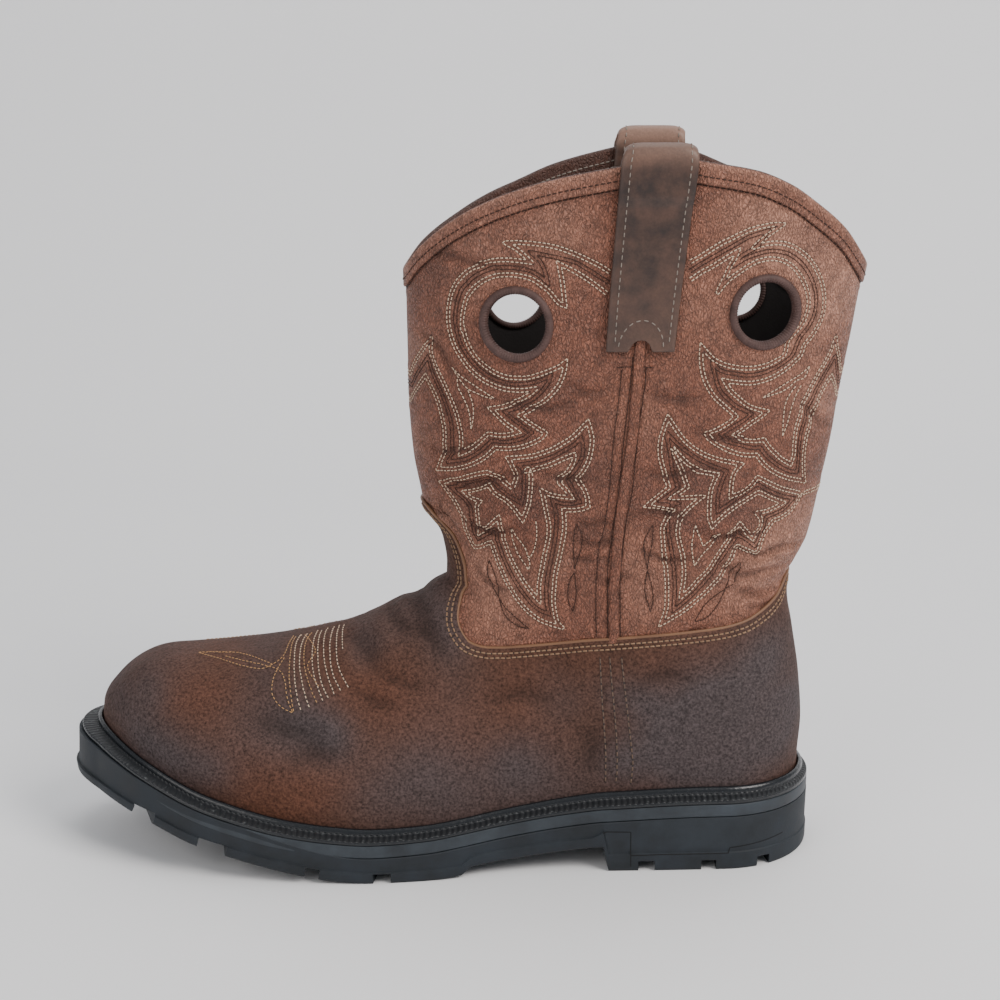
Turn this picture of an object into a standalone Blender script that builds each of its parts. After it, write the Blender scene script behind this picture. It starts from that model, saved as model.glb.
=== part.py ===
"""Western work boot for the left foot, built from its sole up.

Metres, +Z up, toe towards -X, outer side towards -Y. The upper is one hollow wall whose surface
comes from two forms, a foot and a shaft, that run into each other at the ankle.
"""

import math

import bmesh
import bpy
import numpy as np
from mathutils import Matrix, Vector


# Driving sizes of the last and the shaft
LAST_LENGTH = 0.3018
BALL_WIDTH = 0.094
THROAT_HEIGHT = 0.1172
SHAFT_TOP = 0.297
SHAFT_WIDTH = 0.087
HEEL_CAP = 0.034
TOE_CAP = 0.096
TOE_RISE_LENGTH = 0.034
TOE_RISE_POWER = 2.4

# Driving sizes of the sole
HEEL_RISE = 0.0235
TOE_SPRING = 0.026
ARCH_HEIGHT = 0.0105
MIDSOLE_THICKNESS = 0.0052
LIP_RISE = 0.0051
FORE_PROJECTION = 0.0090
TOE_PROJECTION = 0.0128
HEEL_PROJECTION = 0.0047
TOE_FLARE = 0.0006
WELT_TOE_SETBACK = 0.0024
LUG_DEPTH = 0.0045
HEEL_LUG_DEPTH = 0.0075
SIDE_STEP = 0.0008
LIP_WIDTH = 0.0022

# Driving sizes of the leather
WALL = 0.0024
OVERLAY = 0.0009
INSOLE_THICKNESS = 0.0045
PIPING_WIDTH = 0.0042

# Collar, straps and pull holes
BINDING_DEPTH = 0.0075
BINDING_THICKNESS = 0.0009
STRAP_WIDTH = 0.0314
STRAP_FOOT_WIDTH = 0.0270
STRAP_THICKNESS = 0.0019
STRAP_REACH = 0.0790
STRAP_STAND = 0.0028
STRAP_NOTCH = 0.0065
HOLE_RADIUS = 0.0128
RING_WIDTH = 0.0032
RING_LIFT = 0.0011

CLEARANCE = 0.0003
CURVED_CLEARANCE = 0.00055
INSOLE_CLEARANCE = 0.0015

UNION_POWER = 7.0
SIDE_SWELL = 0.05
THROAT_SLOPE = 0.8
HEEL_POWER = 2.0
TOE_POWER = 2.0
LATERAL = -1
MEDIAL = 1


def table(columns, *rows):
    """A table of rows with named columns."""
    return {name: np.array(column, dtype=float) for name, column in zip(columns.split(), zip(*rows))}


# Last, from the heel (station 0) to the toe tip (station 1). centre, half and ridge are shares of
# BALL_WIDTH, top is a share of THROAT_HEIGHT, and arch_power sets how square the cross section is.
LAST = table(
    "station centre half ridge top arch_power",
    (0.000, 0.000, 0.362, 0.000, 1.22, 2.3),
    (0.150, -0.011, 0.362, 0.000, 1.22, 2.3),
    (0.250, -0.030, 0.350, 0.000, 1.20, 2.3),
    (0.340, -0.054, 0.336, 0.000, 1.15, 2.2),
    (0.420, -0.068, 0.355, 0.000, 1.085, 2.1),
    (0.500, -0.077, 0.402, 0.000, 1.000, 2.0),
    (0.542, -0.071, 0.430, 0.006, 0.928, 2.0),
    (0.581, -0.061, 0.455, 0.012, 0.884, 2.0),
    (0.616, -0.049, 0.475, 0.020, 0.832, 2.1),
    (0.679, -0.027, 0.495, 0.030, 0.779, 2.2),
    (0.750, -0.008, 0.503, 0.040, 0.738, 2.4),
    (0.834, 0.012, 0.503, 0.052, 0.708, 2.5),
    (0.920, 0.052, 0.500, 0.074, 0.690, 2.6),
    (1.000, 0.125, 0.500, 0.125, 0.640, 2.6),
)

# Sole heights by the same stations, past both ends. under is a share of TOE_SPRING, arch of
# ARCH_HEIGHT, seat of HEEL_RISE, and rise of LIP_RISE.
SOLE = table(
    "station under arch seat rise",
    (-0.03, 0.000, 0.00, 1.010, 1.20),
    (0.148, 0.000, 0.00, 1.000, 1.14),
    (0.276, 0.000, 0.00, 0.935, 1.08),
    (0.284, 0.000, 1.00, 0.930, 1.08),
    (0.343, 0.000, 0.86, 0.840, 1.04),
    (0.400, 0.000, 0.67, 0.740, 1.00),
    (0.468, 0.000, 0.42, 0.610, 0.96),
    (0.480, 0.000, 0.12, 0.590, 0.95),
    (0.530, 0.000, 0.00, 0.510, 0.95),
    (0.605, 0.000, 0.00, 0.475, 0.96),
    (0.658, 0.046, 0.00, 0.520, 0.98),
    (0.731, 0.200, 0.00, 0.645, 1.00),
    (0.800, 0.373, 0.00, 0.835, 1.02),
    (0.852, 0.508, 0.00, 1.010, 1.05),
    (0.923, 0.762, 0.00, 1.330, 1.15),
    (1.000, 0.960, 0.00, 1.640, 1.45),
    (1.045, 1.040, 0.00, 1.760, 1.50),
)

# How far the welt stands out past the upper, in shares of FORE_PROJECTION.
PROJECTION = table(
    "station side",
    (0.00, 0.80),
    (0.27, 1.00),
    (0.40, 0.95),
    (0.62, 1.00),
    (0.85, 1.08),
    (1.00, 1.20),
)

# Front of the shaft from throat to collar: height over the throat as a share of the shaft above it,
# reach as a share of LAST_LENGTH from the heel.
SHAFT_FRONT = table(
    "height reach",
    (-0.48, 0.300),
    (-0.20, 0.440),
    (0.000, 0.4993),
    (0.034, 0.4990),
    (0.082, 0.5030),
    (0.120, 0.5099),
    (0.147, 0.5219),
    (0.173, 0.5328),
    (0.222, 0.5391),
    (0.300, 0.5477),
    (0.414, 0.5530),
    (0.602, 0.5550),
    (0.720, 0.5560),
    (1.060, 0.5650),
)

# Back of the boot from the sole to the collar: height as a share of SHAFT_TOP, lean as a share of
# LAST_LENGTH past the heel's point.
BACK = table(
    "height lean",
    (0.080, -0.0030),
    (0.130, -0.0026),
    (0.185, 0.0006),
    (0.251, -0.0043),
    (0.323, -0.0156),
    (0.377, -0.0242),
    (0.400, -0.0235),
    (0.425, -0.0110),
    (0.461, 0.0050),
    (0.539, 0.0205),
    (0.599, 0.0318),
    (0.677, 0.0421),
    (0.741, 0.0530),
    (0.828, 0.0665),
    (1.060, 0.1130),
)

# Half-width of the shaft form by height, in shares of SHAFT_WIDTH.
SHAFT_HALF = table(
    "height half power",
    (0.100, 0.200, 2.0),
    (0.200, 0.300, 2.0),
    (0.300, 0.390, 2.0),
    (0.380, 0.430, 2.0),
    (0.440, 0.450, 2.0),
    (0.560, 0.480, 2.05),
    (0.700, 0.497, 2.1),
    (1.000, 0.500, 2.1),
)

# Collar height from the front centre (share 0) to the back centre (share 1), in shares of SHAFT_TOP.
# drop is how much lower the medial side stands.
COLLAR = table(
    "share height drop",
    (0.000, 0.836, 0.000),
    (0.039, 0.872, 0.006),
    (0.125, 0.9185, 0.014),
    (0.224, 0.9505, 0.014),
    (0.323, 0.971, 0.007),
    (0.447, 0.988, 0.002),
    (0.530, 1.000, 0.001),
    (0.620, 0.991, 0.010),
    (0.710, 0.980, 0.022),
    (0.784, 0.961, 0.025),
    (0.850, 0.934, 0.022),
    (0.920, 0.900, 0.016),
    (0.961, 0.872, 0.008),
    (1.000, 0.843, 0.000),
)

# Edge where vamp and counter end on the shaft, front to back, in shares of THROAT_HEIGHT.
VAMP_EDGE = table(
    "share height",
    (0.000, 1.266),
    (0.010, 1.252),
    (0.022, 1.174),
    (0.045, 1.101),
    (0.052, 1.013),
    (0.060, 0.933),
    (0.076, 0.868),
    (0.122, 0.819),
    (0.197, 0.792),
    (0.344, 0.794),
    (0.537, 0.819),
    (0.688, 0.840),
    (0.840, 0.862),
    (0.919, 0.910),
    (0.965, 0.954),
    (1.000, 1.009),
)

# Side seams across the shaft: height as a share of SHAFT_TOP, each seam's place as a share front to back.
SIDE_SEAM = table(
    "height lateral medial",
    (0.30, 0.500, 0.500),
    (0.46, 0.470, 0.470),
    (0.75, 0.502, 0.508),
    (1.04, 0.511, 0.521),
)

# Rings of the upper from its lower margin up: how far along the front line and up the back each one
# starts and ends.
RINGS = table(
    "level front back",
    (0.00, 0.000, 0.000),
    (0.07, 0.030, 0.035),
    (0.20, 0.140, 0.130),
    (0.40, 0.390, 0.270),
    (0.55, 0.570, 0.400),
    (0.66, 0.680, 0.500),
    (0.80, 0.800, 0.700),
    (1.00, 1.000, 1.000),
)

# Pull holes: share front to back, height as a share of SHAFT_TOP.
PULL_HOLES = {
    "front_lateral": (0.243, 0.779),
    "rear_lateral": (0.776, 0.795),
    "front_medial": (0.243, 0.779),
    "rear_medial": (0.748, 0.789),
}

# Lugs cut in the outsole's edge: station, width in lug depths, and turn in degrees.
FORE_NOTCHES = (
    (0.935, 1.6, 20.0),
    (0.830, 2.6, 10.0),
    (0.688, 1.3, 0.0),
    (0.588, 1.6, -8.0),
)
HEEL_NOTCHES = (
    (0.222, 1.5, -6.0),
    (0.136, 1.4, 0.0),
    (0.060, 1.3, 10.0),
)
CENTRE_BARS = ((0.845, 0.9), (0.765, 0.9), (0.690, 0.9), (0.620, 0.9), (0.550, 0.9))

COLOURS = {
    "shaft_leather": ("8a5a42", 0.55),
    "foot_leather": ("54382b", 0.62),
    "strap_leather": ("574b46", 0.50),
    "binding_leather": ("5d3d36", 0.50),
    "ring_thread": ("4a3830", 0.70),
    "sole_rubber": ("272b31", 0.60),
    "band_rubber": ("343a41", 0.45),
    "insole_fabric": ("2b2a2b", 0.90),
}


def read(rows, key, column, at):
    """Reads a table's column at the given keys, smoothly and without overshoot between its rows."""
    known, values = rows[key], rows[column]
    at = np.clip(np.asarray(at, dtype=float), known[0], known[-1])
    step = np.diff(known)
    rate = np.diff(values) / step
    slope = np.empty_like(values)
    slope[0], slope[-1] = rate[0], rate[-1]
    product = rate[:-1] * rate[1:]
    total = rate[:-1] + rate[1:]
    slope[1:-1] = np.where(product > 0, 2 * product / np.where(total == 0, 1, total), 0)
    row = np.clip(np.searchsorted(known, at, side="right") - 1, 0, len(known) - 2)
    t = (at - known[row]) / step[row]
    start, end = values[row], values[row + 1]
    bend_in, bend_out = slope[row] * step[row], slope[row + 1] * step[row]
    return (
        start * (1 + 2 * t) * (1 - t) ** 2
        + bend_in * t * (1 - t) ** 2
        + end * t * t * (3 - 2 * t)
        - bend_out * t * t * (1 - t)
    )


def rounded(distance, reach, power):
    """Share of full width that a rounded end has at a distance from its tip."""
    away = 1 - np.clip(distance / reach, 0, 1)
    return (1 - away**power) ** (1 / power)


def station(x):
    return -x / LAST_LENGTH


def sole_seat(x):
    """Top of the outsole."""
    return read(SOLE, "station", "seat", station(x)) * HEEL_RISE


def sole_under(x):
    """Lowest line of the outsole: ground, arch and toe spring."""
    s = station(x)
    return read(SOLE, "station", "under", s) * TOE_SPRING + read(SOLE, "station", "arch", s) * ARCH_HEIGHT


def midsole_top(x):
    return sole_seat(x) + CLEARANCE + MIDSOLE_THICKNESS


def lip_top(x):
    """Height of the welt's bead, where the upper comes out of the sole."""
    return midsole_top(x) + read(SOLE, "station", "rise", station(x)) * LIP_RISE


def margin(x):
    """Lower edge of the upper, hidden behind the welt."""
    return midsole_top(x) + CLEARANCE


def back_line(z):
    """X of the boot's back at a height."""
    return read(BACK, "height", "lean", z / SHAFT_TOP) * LAST_LENGTH


def shaft_front(z):
    """X of the shaft's front at a height."""
    share = (z - THROAT_HEIGHT) / (SHAFT_TOP - THROAT_HEIGHT)
    return -read(SHAFT_FRONT, "height", "reach", share) * LAST_LENGTH


def ridge_top(x):
    """Height of the vamp's ridge, from the toe up to the throat and on into the shaft."""
    full = read(LAST, "station", "top", station(x)) * THROAT_HEIGHT
    low = lip_top(x)
    return low + (full - low) * rounded(x + LAST_LENGTH, TOE_RISE_LENGTH, TOE_RISE_POWER)


def ridge_centre(x):
    return read(LAST, "station", "ridge", station(x)) * BALL_WIDTH


def last_centre(x):
    return read(LAST, "station", "centre", station(x)) * BALL_WIDTH


def last_half(x):
    return read(LAST, "station", "half", station(x)) * BALL_WIDTH


def foot_reach(x, z, side):
    """Half-width of the foot form on one side of its ridge line."""
    heel_end = rounded(back_line(z) - x, HEEL_CAP, HEEL_POWER)
    toe_end = rounded(x + LAST_LENGTH, TOE_CAP, TOE_POWER)
    ends = heel_end * toe_end
    low = lip_top(x)
    share = np.clip((z - low) / np.maximum(ridge_top(x) - low, 1e-6), 0, 1)
    power = read(LAST, "station", "arch_power", station(x))
    arch = (1 - share**power) ** (1 / power)
    swell = 1 + SIDE_SWELL * np.sin(math.pi * np.clip(share * 1.6, 0, 1))
    skew = (last_centre(x) - ridge_centre(x)) * side
    return np.maximum(last_half(x) * ends + skew * np.minimum(ends * 1.6, 1), 0) * arch * swell


def shaft_reach(x, z):
    """Half-width of the shaft form."""
    front, back = shaft_front(z), back_line(z)
    share = np.clip((x - front) / (back - front), 0, 1)
    power = read(SHAFT_HALF, "height", "power", z / SHAFT_TOP)
    oval = (1 - np.abs(2 * share - 1) ** power) ** (1 / power)
    return read(SHAFT_HALF, "height", "half", z / SHAFT_TOP) * SHAFT_WIDTH * oval


def surface_y(x, z, side):
    """Y of the leather's outer face over a point of the boot's side view."""
    foot = foot_reach(x, z, side)
    shaft = shaft_reach(x, z)
    return ridge_centre(x) + side * (foot**UNION_POWER + shaft**UNION_POWER) ** (1 / UNION_POWER)


def collar_height(share, side):
    """Height of the collar's rim on one side."""
    drop = np.where(np.asarray(side) > 0, read(COLLAR, "share", "drop", share), 0.0)
    return (read(COLLAR, "share", "height", share) - drop) * SHAFT_TOP


def seam_start(z):
    """Front end of the lines that cross the shaft; below the throat they reach on over the vamp."""
    return np.where(z < THROAT_HEIGHT, shaft_front(THROAT_HEIGHT) - (THROAT_HEIGHT - z) * THROAT_SLOPE, shaft_front(z))


def shaft_point(share, z, side):
    """A point of the shaft by its share front to back and its height."""
    start = seam_start(z)
    x = start + share * (back_line(z) - start)
    return np.stack([x, surface_y(x, z, side), z], axis=-1)


def seam_share(z, side):
    """Place of a side seam front to back at a height."""
    height = z / SHAFT_TOP
    lateral = read(SIDE_SEAM, "height", "lateral", height)
    return np.where(np.asarray(side) > 0, read(SIDE_SEAM, "height", "medial", height), lateral)


def even_turns(count):
    """Shares from 0 to 1, closer together near both ends, as an arc's points are."""
    return (1 - np.cos(np.linspace(0, math.pi, count + 1))) / 2


def front_line(shares):
    """Points on the upper's front line, from the toe's lower margin over the vamp to the collar."""
    toe_angle = np.linspace(0, math.pi / 2, 24)
    toe_x = -LAST_LENGTH + TOE_RISE_LENGTH * (1 - np.cos(toe_angle))
    vamp_x = np.linspace(toe_x[-1], shaft_front(THROAT_HEIGHT), 60)[1:]
    shaft_z = np.linspace(THROAT_HEIGHT, COLLAR["height"][0] * SHAFT_TOP, 60)[1:]
    x = np.concatenate([[toe_x[0]], toe_x, vamp_x, shaft_front(shaft_z)])
    z = np.concatenate([[margin(toe_x[0])], ridge_top(toe_x), ridge_top(vamp_x), shaft_z])
    run = np.concatenate([[0], np.cumsum(np.hypot(np.diff(x), np.diff(z)))])
    run /= run[-1]
    return np.interp(shares, run, x), np.interp(shares, run, z)


def upper_grid(rings, columns):
    """Outer face of the upper as rings of points, lateral side first and then back along the medial."""
    level = np.linspace(0, 1, rings + 1)
    front_x, front_z = front_line(read(RINGS, "level", "front", level))
    low_back = margin(0.0)
    high_back = COLLAR["height"][-1] * SHAFT_TOP
    back_z = low_back + read(RINGS, "level", "back", level) * (high_back - low_back)
    back_x = back_line(back_z)
    t = even_turns(columns)[None, :]
    x = front_x[:, None] * (1 - t) + back_x[:, None] * t
    z = front_z[:, None] * (1 - t) + back_z[:, None] * t
    margin_sag = margin(x[:1]) - z[:1]
    up = level[:, None]
    low_part = np.clip(1 - up / 0.62, 0, 1) ** 1.5
    high_part = np.clip((up - 0.45) / 0.55, 0, 1) ** 1.5
    sides = []
    for side in (LATERAL, MEDIAL):
        bent = z + margin_sag * low_part + (collar_height(t, side) - z[-1:]) * high_part
        across = shaft_front(bent) + t * (back_line(bent) - shaft_front(bent))
        along = x + (across - x) * high_part
        sides.append(np.stack([along, surface_y(along, bent, side), bent], axis=-1))
    return np.concatenate([sides[0], sides[1][:, -2:0:-1]], axis=1)


def normals(points, wrapped):
    """Unit normals of a grid of points, from its neighbours."""
    if wrapped:
        across = np.roll(points, -1, axis=1) - np.roll(points, 1, axis=1)
    else:
        across = np.gradient(points, axis=1)
    up = np.gradient(points, axis=0)
    out = np.cross(across, up)
    return out / np.maximum(np.linalg.norm(out, axis=-1, keepdims=True), 1e-12)


def offset(points, distance, wrapped=True):
    return points + normals(points, wrapped) * distance


def colour(name):
    """A colour written as sRGB hex, turned linear."""
    code = COLOURS[name][0]
    parts = [int(code[i : i + 2], 16) / 255 for i in (0, 2, 4)]
    return [part / 12.92 if part <= 0.04045 else ((part + 0.055) / 1.055) ** 2.4 for part in parts]


def material(name):
    found = bpy.data.materials.get(name)
    if found:
        return found
    made = bpy.data.materials.new(name)
    made.use_nodes = True
    shader = made.node_tree.nodes["Principled BSDF"]
    shader.inputs["Base Color"].default_value = (*colour(name), 1)
    shader.inputs["Roughness"].default_value = COLOURS[name][1]
    shader.inputs["Metallic"].default_value = 0.0
    return made


def place(name, shape, finish, smooth_angle=40):
    """Turns a bmesh into a named object with its material."""
    bmesh.ops.remove_doubles(shape, verts=shape.verts, dist=1e-6)
    bmesh.ops.recalc_face_normals(shape, faces=shape.faces)
    mesh = bpy.data.meshes.new(name)
    shape.to_mesh(mesh)
    shape.free()
    mesh.shade_smooth()
    mesh.set_sharp_from_angle(angle=math.radians(smooth_angle))
    if finish:
        mesh.materials.append(material(finish))
    made = bpy.data.objects.new(name, mesh)
    bpy.context.scene.collection.objects.link(made)
    return made


def grid_shape(points, close_rows=False, close_columns=False, shape=None):
    """A bmesh grid whose vertices are moved to rows of points; a closed way repeats its first line."""
    if close_rows:
        points = np.concatenate([points, points[:1]], axis=0)
    if close_columns:
        points = np.concatenate([points, points[:, :1]], axis=1)
    rows, columns = points.shape[:2]
    shape = shape or bmesh.new()
    made = bmesh.ops.create_grid(shape, x_segments=columns - 1, y_segments=rows - 1, size=1.0)
    order = sorted(made["verts"], key=lambda v: (round(v.co.y, 5), round(v.co.x, 5)))
    for vertex, point in zip(order, points.reshape(-1, 3)):
        vertex.co = Vector(point)
    return shape


def cap_ends(shape):
    """Closes the open ends of a swept grid."""
    bmesh.ops.remove_doubles(shape, verts=shape.verts, dist=1e-6)
    bmesh.ops.holes_fill(shape, edges=[edge for edge in shape.edges if edge.is_boundary], sides=0)


def thicken(made, thickness, direction):
    """Gives a sheet its thickness: direction -1 goes inwards, 1 outwards and 0 both ways."""
    layer = made.modifiers.new("thickness", "SOLIDIFY")
    layer.thickness = thickness
    layer.offset = direction
    layer.use_even_offset = True
    layer.use_rim = True


def cut(made, cutter, name):
    """Takes a cutter's shape out of an object."""
    cutter.hide_render = True
    cutter.display_type = "WIRE"
    step = made.modifiers.new(name, "BOOLEAN")
    step.operation = "DIFFERENCE"
    step.solver = "EXACT"
    step.object = cutter


def sole_span():
    """Length of the outsole's top edge."""
    return LAST_LENGTH + HEEL_PROJECTION + TOE_PROJECTION


def turn_at(mark):
    """Place along the outline that lies at a station of the last."""
    return (mark * LAST_LENGTH + HEEL_PROJECTION) / sole_span()


def edge_out(share, toe_setback=0.0):
    """An edge of the sole that stands out by a share of the welt's full projection."""
    return {
        "side": FORE_PROJECTION * share,
        "heel": HEEL_PROJECTION * share,
        "toe": TOE_PROJECTION * share - toe_setback,
        "even": False,
    }


def edge_by(distance):
    """An edge at one distance from the leather form all round; less than 0 lies inside it."""
    heel_line = float(back_line(lip_top(0.0)))
    return {"side": distance, "heel": heel_line + distance, "toe": distance, "even": True}


def outline(turns, edge):
    """Stations and lateral and medial sides of an edge of the sole.

    All outlines share their stations, except close to the heel's and the toe's ends.
    """
    heel_end_x = edge["heel"]
    toe_end_x = -LAST_LENGTH - edge["toe"]
    x = HEEL_PROJECTION - turns * sole_span()
    x = x + (heel_end_x - HEEL_PROJECTION) * np.clip(1 - turns / 0.15, 0, 1) ** 2
    x = x + (toe_end_x + LAST_LENGTH + TOE_PROJECTION) * np.clip(turns / 0.2 - 4, 0, 1) ** 2
    spread = 1.0 if edge["even"] else read(PROJECTION, "station", "side", station(x))
    heel_end = rounded(heel_end_x - x, HEEL_CAP + heel_end_x, HEEL_POWER)
    toe_end = rounded(x - toe_end_x, TOE_CAP + edge["toe"], TOE_POWER)
    half = (last_half(x) + edge["side"] * spread) * heel_end * toe_end
    return x, last_centre(x) - half, last_centre(x) + half


def sole_turns(count, marks=()):
    """Places along the outline, from heel to toe, with the marks among them."""
    turns = even_turns(count)
    for mark in marks:
        turns = turns[np.abs(turns - mark) > 0.006]
    return np.sort(np.concatenate([turns, marks]))


def plate(name, levels, turns, finish):
    """A solid between heel and toe whose section has the given levels, each an edge and a height."""
    lateral, medial = [], []
    for edge, height in levels:
        x, low_y, high_y = outline(turns, edge)
        lateral.append(np.stack([x, low_y, height(x)], axis=-1))
        medial.append(np.stack([x, high_y, height(x)], axis=-1))
    sections = np.stack(lateral + medial[::-1], axis=1)
    shape = grid_shape(sections, close_columns=True)
    return place(name, shape, finish)


def outline_loop(turns, edge, height):
    """The whole outline as one closed line of points at a height given by x."""
    x, low_y, high_y = outline(turns, edge)
    lateral = np.stack([x, low_y, height(x)], axis=-1)
    medial = np.stack([x, high_y, height(x)], axis=-1)
    return np.concatenate([lateral, medial[-2:0:-1]])


def make_outsole():
    breast_and_arch_end = [turn_at(SOLE["station"][row]) for row in (2, 3, 6, 7)]
    turns = sole_turns(34, breast_and_arch_end)

    def lug_line(x):
        heel = np.clip((0.30 - station(x)) * 50, 0, 1)
        return sole_under(x) + LUG_DEPTH + (HEEL_LUG_DEPTH - LUG_DEPTH) * heel

    step_share = SIDE_STEP / FORE_PROJECTION
    levels = [
        (edge_out(0.93), sole_under),
        (edge_out(1.00, -TOE_FLARE), lambda x: sole_under(x) + SIDE_STEP * 3),
        (edge_out(1.02, -TOE_FLARE), lug_line),
        (edge_out(1.02 - step_share, -TOE_FLARE), lambda x: lug_line(x) + SIDE_STEP),
        (edge_out(0.99), sole_seat),
    ]
    made = plate("outsole", levels, turns, "sole_rubber")
    cut(made, make_notch_cutter(), "edge_notches")
    cut(made, make_channel_cutter(), "long_channels")
    return made


def notch_box(shape, x, y, length, width, depth, turn):
    """A box that cuts a groove from below at a place of the sole."""
    slope = float(sole_under(x + width / 2) - sole_under(x - width / 2)) / width
    below = depth * 2
    size = Matrix.Diagonal((width, length, depth + below, 1))
    tilt = Matrix.Rotation(-math.atan(slope), 4, "Y")
    spin = Matrix.Rotation(math.radians(turn), 4, "Z")
    centre = Matrix.Translation((x, y, float(sole_under(x)) + depth - (depth + below) / 2))
    bmesh.ops.create_cube(shape, size=1.0, matrix=centre @ spin @ tilt @ size)


def edge_at(x):
    """Lateral and medial edges of the outsole at one x."""
    turns = np.linspace(0, 1, 400)
    along, low_y, high_y = outline(turns, edge_out(1.02, -TOE_FLARE))
    return float(np.interp(-x, -along, low_y)), float(np.interp(-x, -along, high_y))


def make_notch_cutter():
    shape = bmesh.new()
    for rows, depth in ((FORE_NOTCHES, LUG_DEPTH), (HEEL_NOTCHES, HEEL_LUG_DEPTH * 0.6)):
        for at, width, turn in rows:
            x = -at * LAST_LENGTH
            low_y, high_y = edge_at(x)
            inward = BALL_WIDTH * 0.21
            for edge, side in ((low_y, LATERAL), (high_y, MEDIAL)):
                middle = edge - side * (inward / 2 - inward * 0.3)
                notch_box(shape, x, middle, inward * 1.6, width * LUG_DEPTH, depth, turn * -side)
    for at, width in CENTRE_BARS:
        x = -at * LAST_LENGTH
        notch_box(shape, x, float(last_centre(x)), BALL_WIDTH * 0.30, width * LUG_DEPTH, LUG_DEPTH * 0.8, 0)
    return place("notch_cutter", shape, None)


def make_channel_cutter():
    """Long grooves between the edge lugs and the middle of the tread."""
    shape = bmesh.new()
    width = LUG_DEPTH * 0.9
    for side in (LATERAL, MEDIAL):
        for start, stop, inset in ((0.53, 0.93, 0.27), (0.045, 0.235, 0.22)):
            x = -np.linspace(start, stop, 9) * LAST_LENGTH
            edges = np.array([edge_at(value)[0 if side == LATERAL else 1] for value in x])
            y = edges - side * BALL_WIDTH * inset
            y = np.where((y - last_centre(x)) * side < width, last_centre(x) + side * width, y)
            top = sole_under(x) + LUG_DEPTH * 0.8
            low = sole_under(x) - LUG_DEPTH
            corners = [(y - width / 2, low), (y + width / 2, low), (y + width / 2, top), (y - width / 2, top)]
            sections = np.stack([np.stack([x, yy, zz], axis=-1) for yy, zz in corners], axis=1)
            grid_shape(sections, close_columns=True, shape=shape)
            cap_ends(shape)
    return place("channel_cutter", shape, None)


def make_midsole():
    turns = sole_turns(30)
    bevel = MIDSOLE_THICKNESS * 0.14
    levels = [
        (edge_out(0.95, WELT_TOE_SETBACK * 0.4), lambda x: sole_seat(x) + CLEARANCE),
        (edge_out(0.98, WELT_TOE_SETBACK * 0.4), lambda x: sole_seat(x) + CLEARANCE + bevel),
        (edge_out(0.98, WELT_TOE_SETBACK * 0.6), lambda x: midsole_top(x) - bevel),
        (edge_out(0.95, WELT_TOE_SETBACK * 0.6), midsole_top),
    ]
    return plate("midsole", levels, turns, "band_rubber")


def make_welt():
    """A ring round the upper: outer edge, sloped top, raised bead and an inner wall."""
    turns = sole_turns(32)
    inner = OVERLAY + CURVED_CLEARANCE

    def rise(share):
        return lambda x: midsole_top(x) + CLEARANCE + (lip_top(x) - midsole_top(x)) * share

    profile = [
        (edge_out(0.94, WELT_TOE_SETBACK), rise(0.0)),
        (edge_out(0.98, WELT_TOE_SETBACK), rise(0.05)),
        (edge_out(0.98, WELT_TOE_SETBACK), rise(0.22)),
        (edge_out(0.93, WELT_TOE_SETBACK), rise(0.30)),
        (edge_by(inner + LIP_WIDTH * 1.1), rise(0.55)),
        (edge_by(inner + LIP_WIDTH), rise(0.80)),
        (edge_by(inner + LIP_WIDTH * 0.5), rise(0.94)),
        (edge_by(inner), rise(0.86)),
        (edge_by(inner), rise(0.0)),
    ]
    loops = np.stack([outline_loop(turns, edge, height) for edge, height in profile])
    return place("welt", grid_shape(loops, close_rows=True, close_columns=True), "sole_rubber")


def make_insole():
    """Footbed on the midsole, inside the upper's lower margin."""
    turns = sole_turns(26)
    inside = edge_by(-(WALL + INSOLE_CLEARANCE))
    levels = [
        (inside, lambda x: midsole_top(x) + CLEARANCE),
        (inside, lambda x: midsole_top(x) + CLEARANCE + INSOLE_THICKNESS),
    ]
    return plate("insole", levels, turns, "insole_fabric")


def piping_top():
    """Height where the side seam's piping ends, in the notch of the pull strap."""
    return SHAFT_TOP - STRAP_REACH + STRAP_NOTCH * 0.6


def turn_of(share):
    """Angle round the shaft, from 0 at the front to 1 at the back, of a share front to back."""
    return np.arccos(1 - 2 * share) / math.pi


def make_skin_cutter(name, front, columns):
    """Space over the front or rear half of the shaft's skin, from the vamp's edge to past the collar.

    The two halves leave the side seams' piping standing between them, up to the pull straps.
    """
    way = np.linspace(-1, 1, columns + 1)
    side = np.where(way < 0, MEDIAL, LATERAL) if front else np.where(way > 0, MEDIAL, LATERAL)
    share = way**2 / 2 if front else 1 - way**2 / 2
    low = read(VAMP_EDGE, "share", "height", share) * THROAT_HEIGHT
    high = collar_height(share, side) + BINDING_DEPTH
    stop = piping_top()
    below = low + (stop - low) * np.linspace(0, 1, 7)[:, None]
    above = stop + OVERLAY + (high - stop - OVERLAY) * np.linspace(0, 1, 4)[:, None]
    z = np.concatenate([below, above])
    half_rib = np.where(z > stop + OVERLAY / 2, -1.0, 1.0) * PIPING_WIDTH / 2
    span = back_line(z) - seam_start(z)
    seam = seam_share(z, side[None, :])
    edge = turn_of(seam - half_rib / span) if front else 1 - turn_of(seam + half_rib / span)
    turn = way * edge if front else 1 + way * edge
    points = shaft_point((1 - np.cos(turn * math.pi)) / 2, z, side[None, :])
    made = place(name, grid_shape(points), None)
    face_outwards(made)
    thicken(made, OVERLAY * 3, 1)
    return made


def face_outwards(made):
    """Turns a sheet's faces away from the boot's middle."""
    middle = Vector((-LAST_LENGTH * 0.25, 0, 0))
    outwards = 0
    for face in made.data.polygons:
        away = face.center - middle
        away.z = 0
        outwards += face.area * (1 if face.normal.dot(away) > 0 else -1)
    if outwards < 0:
        made.data.flip_normals()


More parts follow.
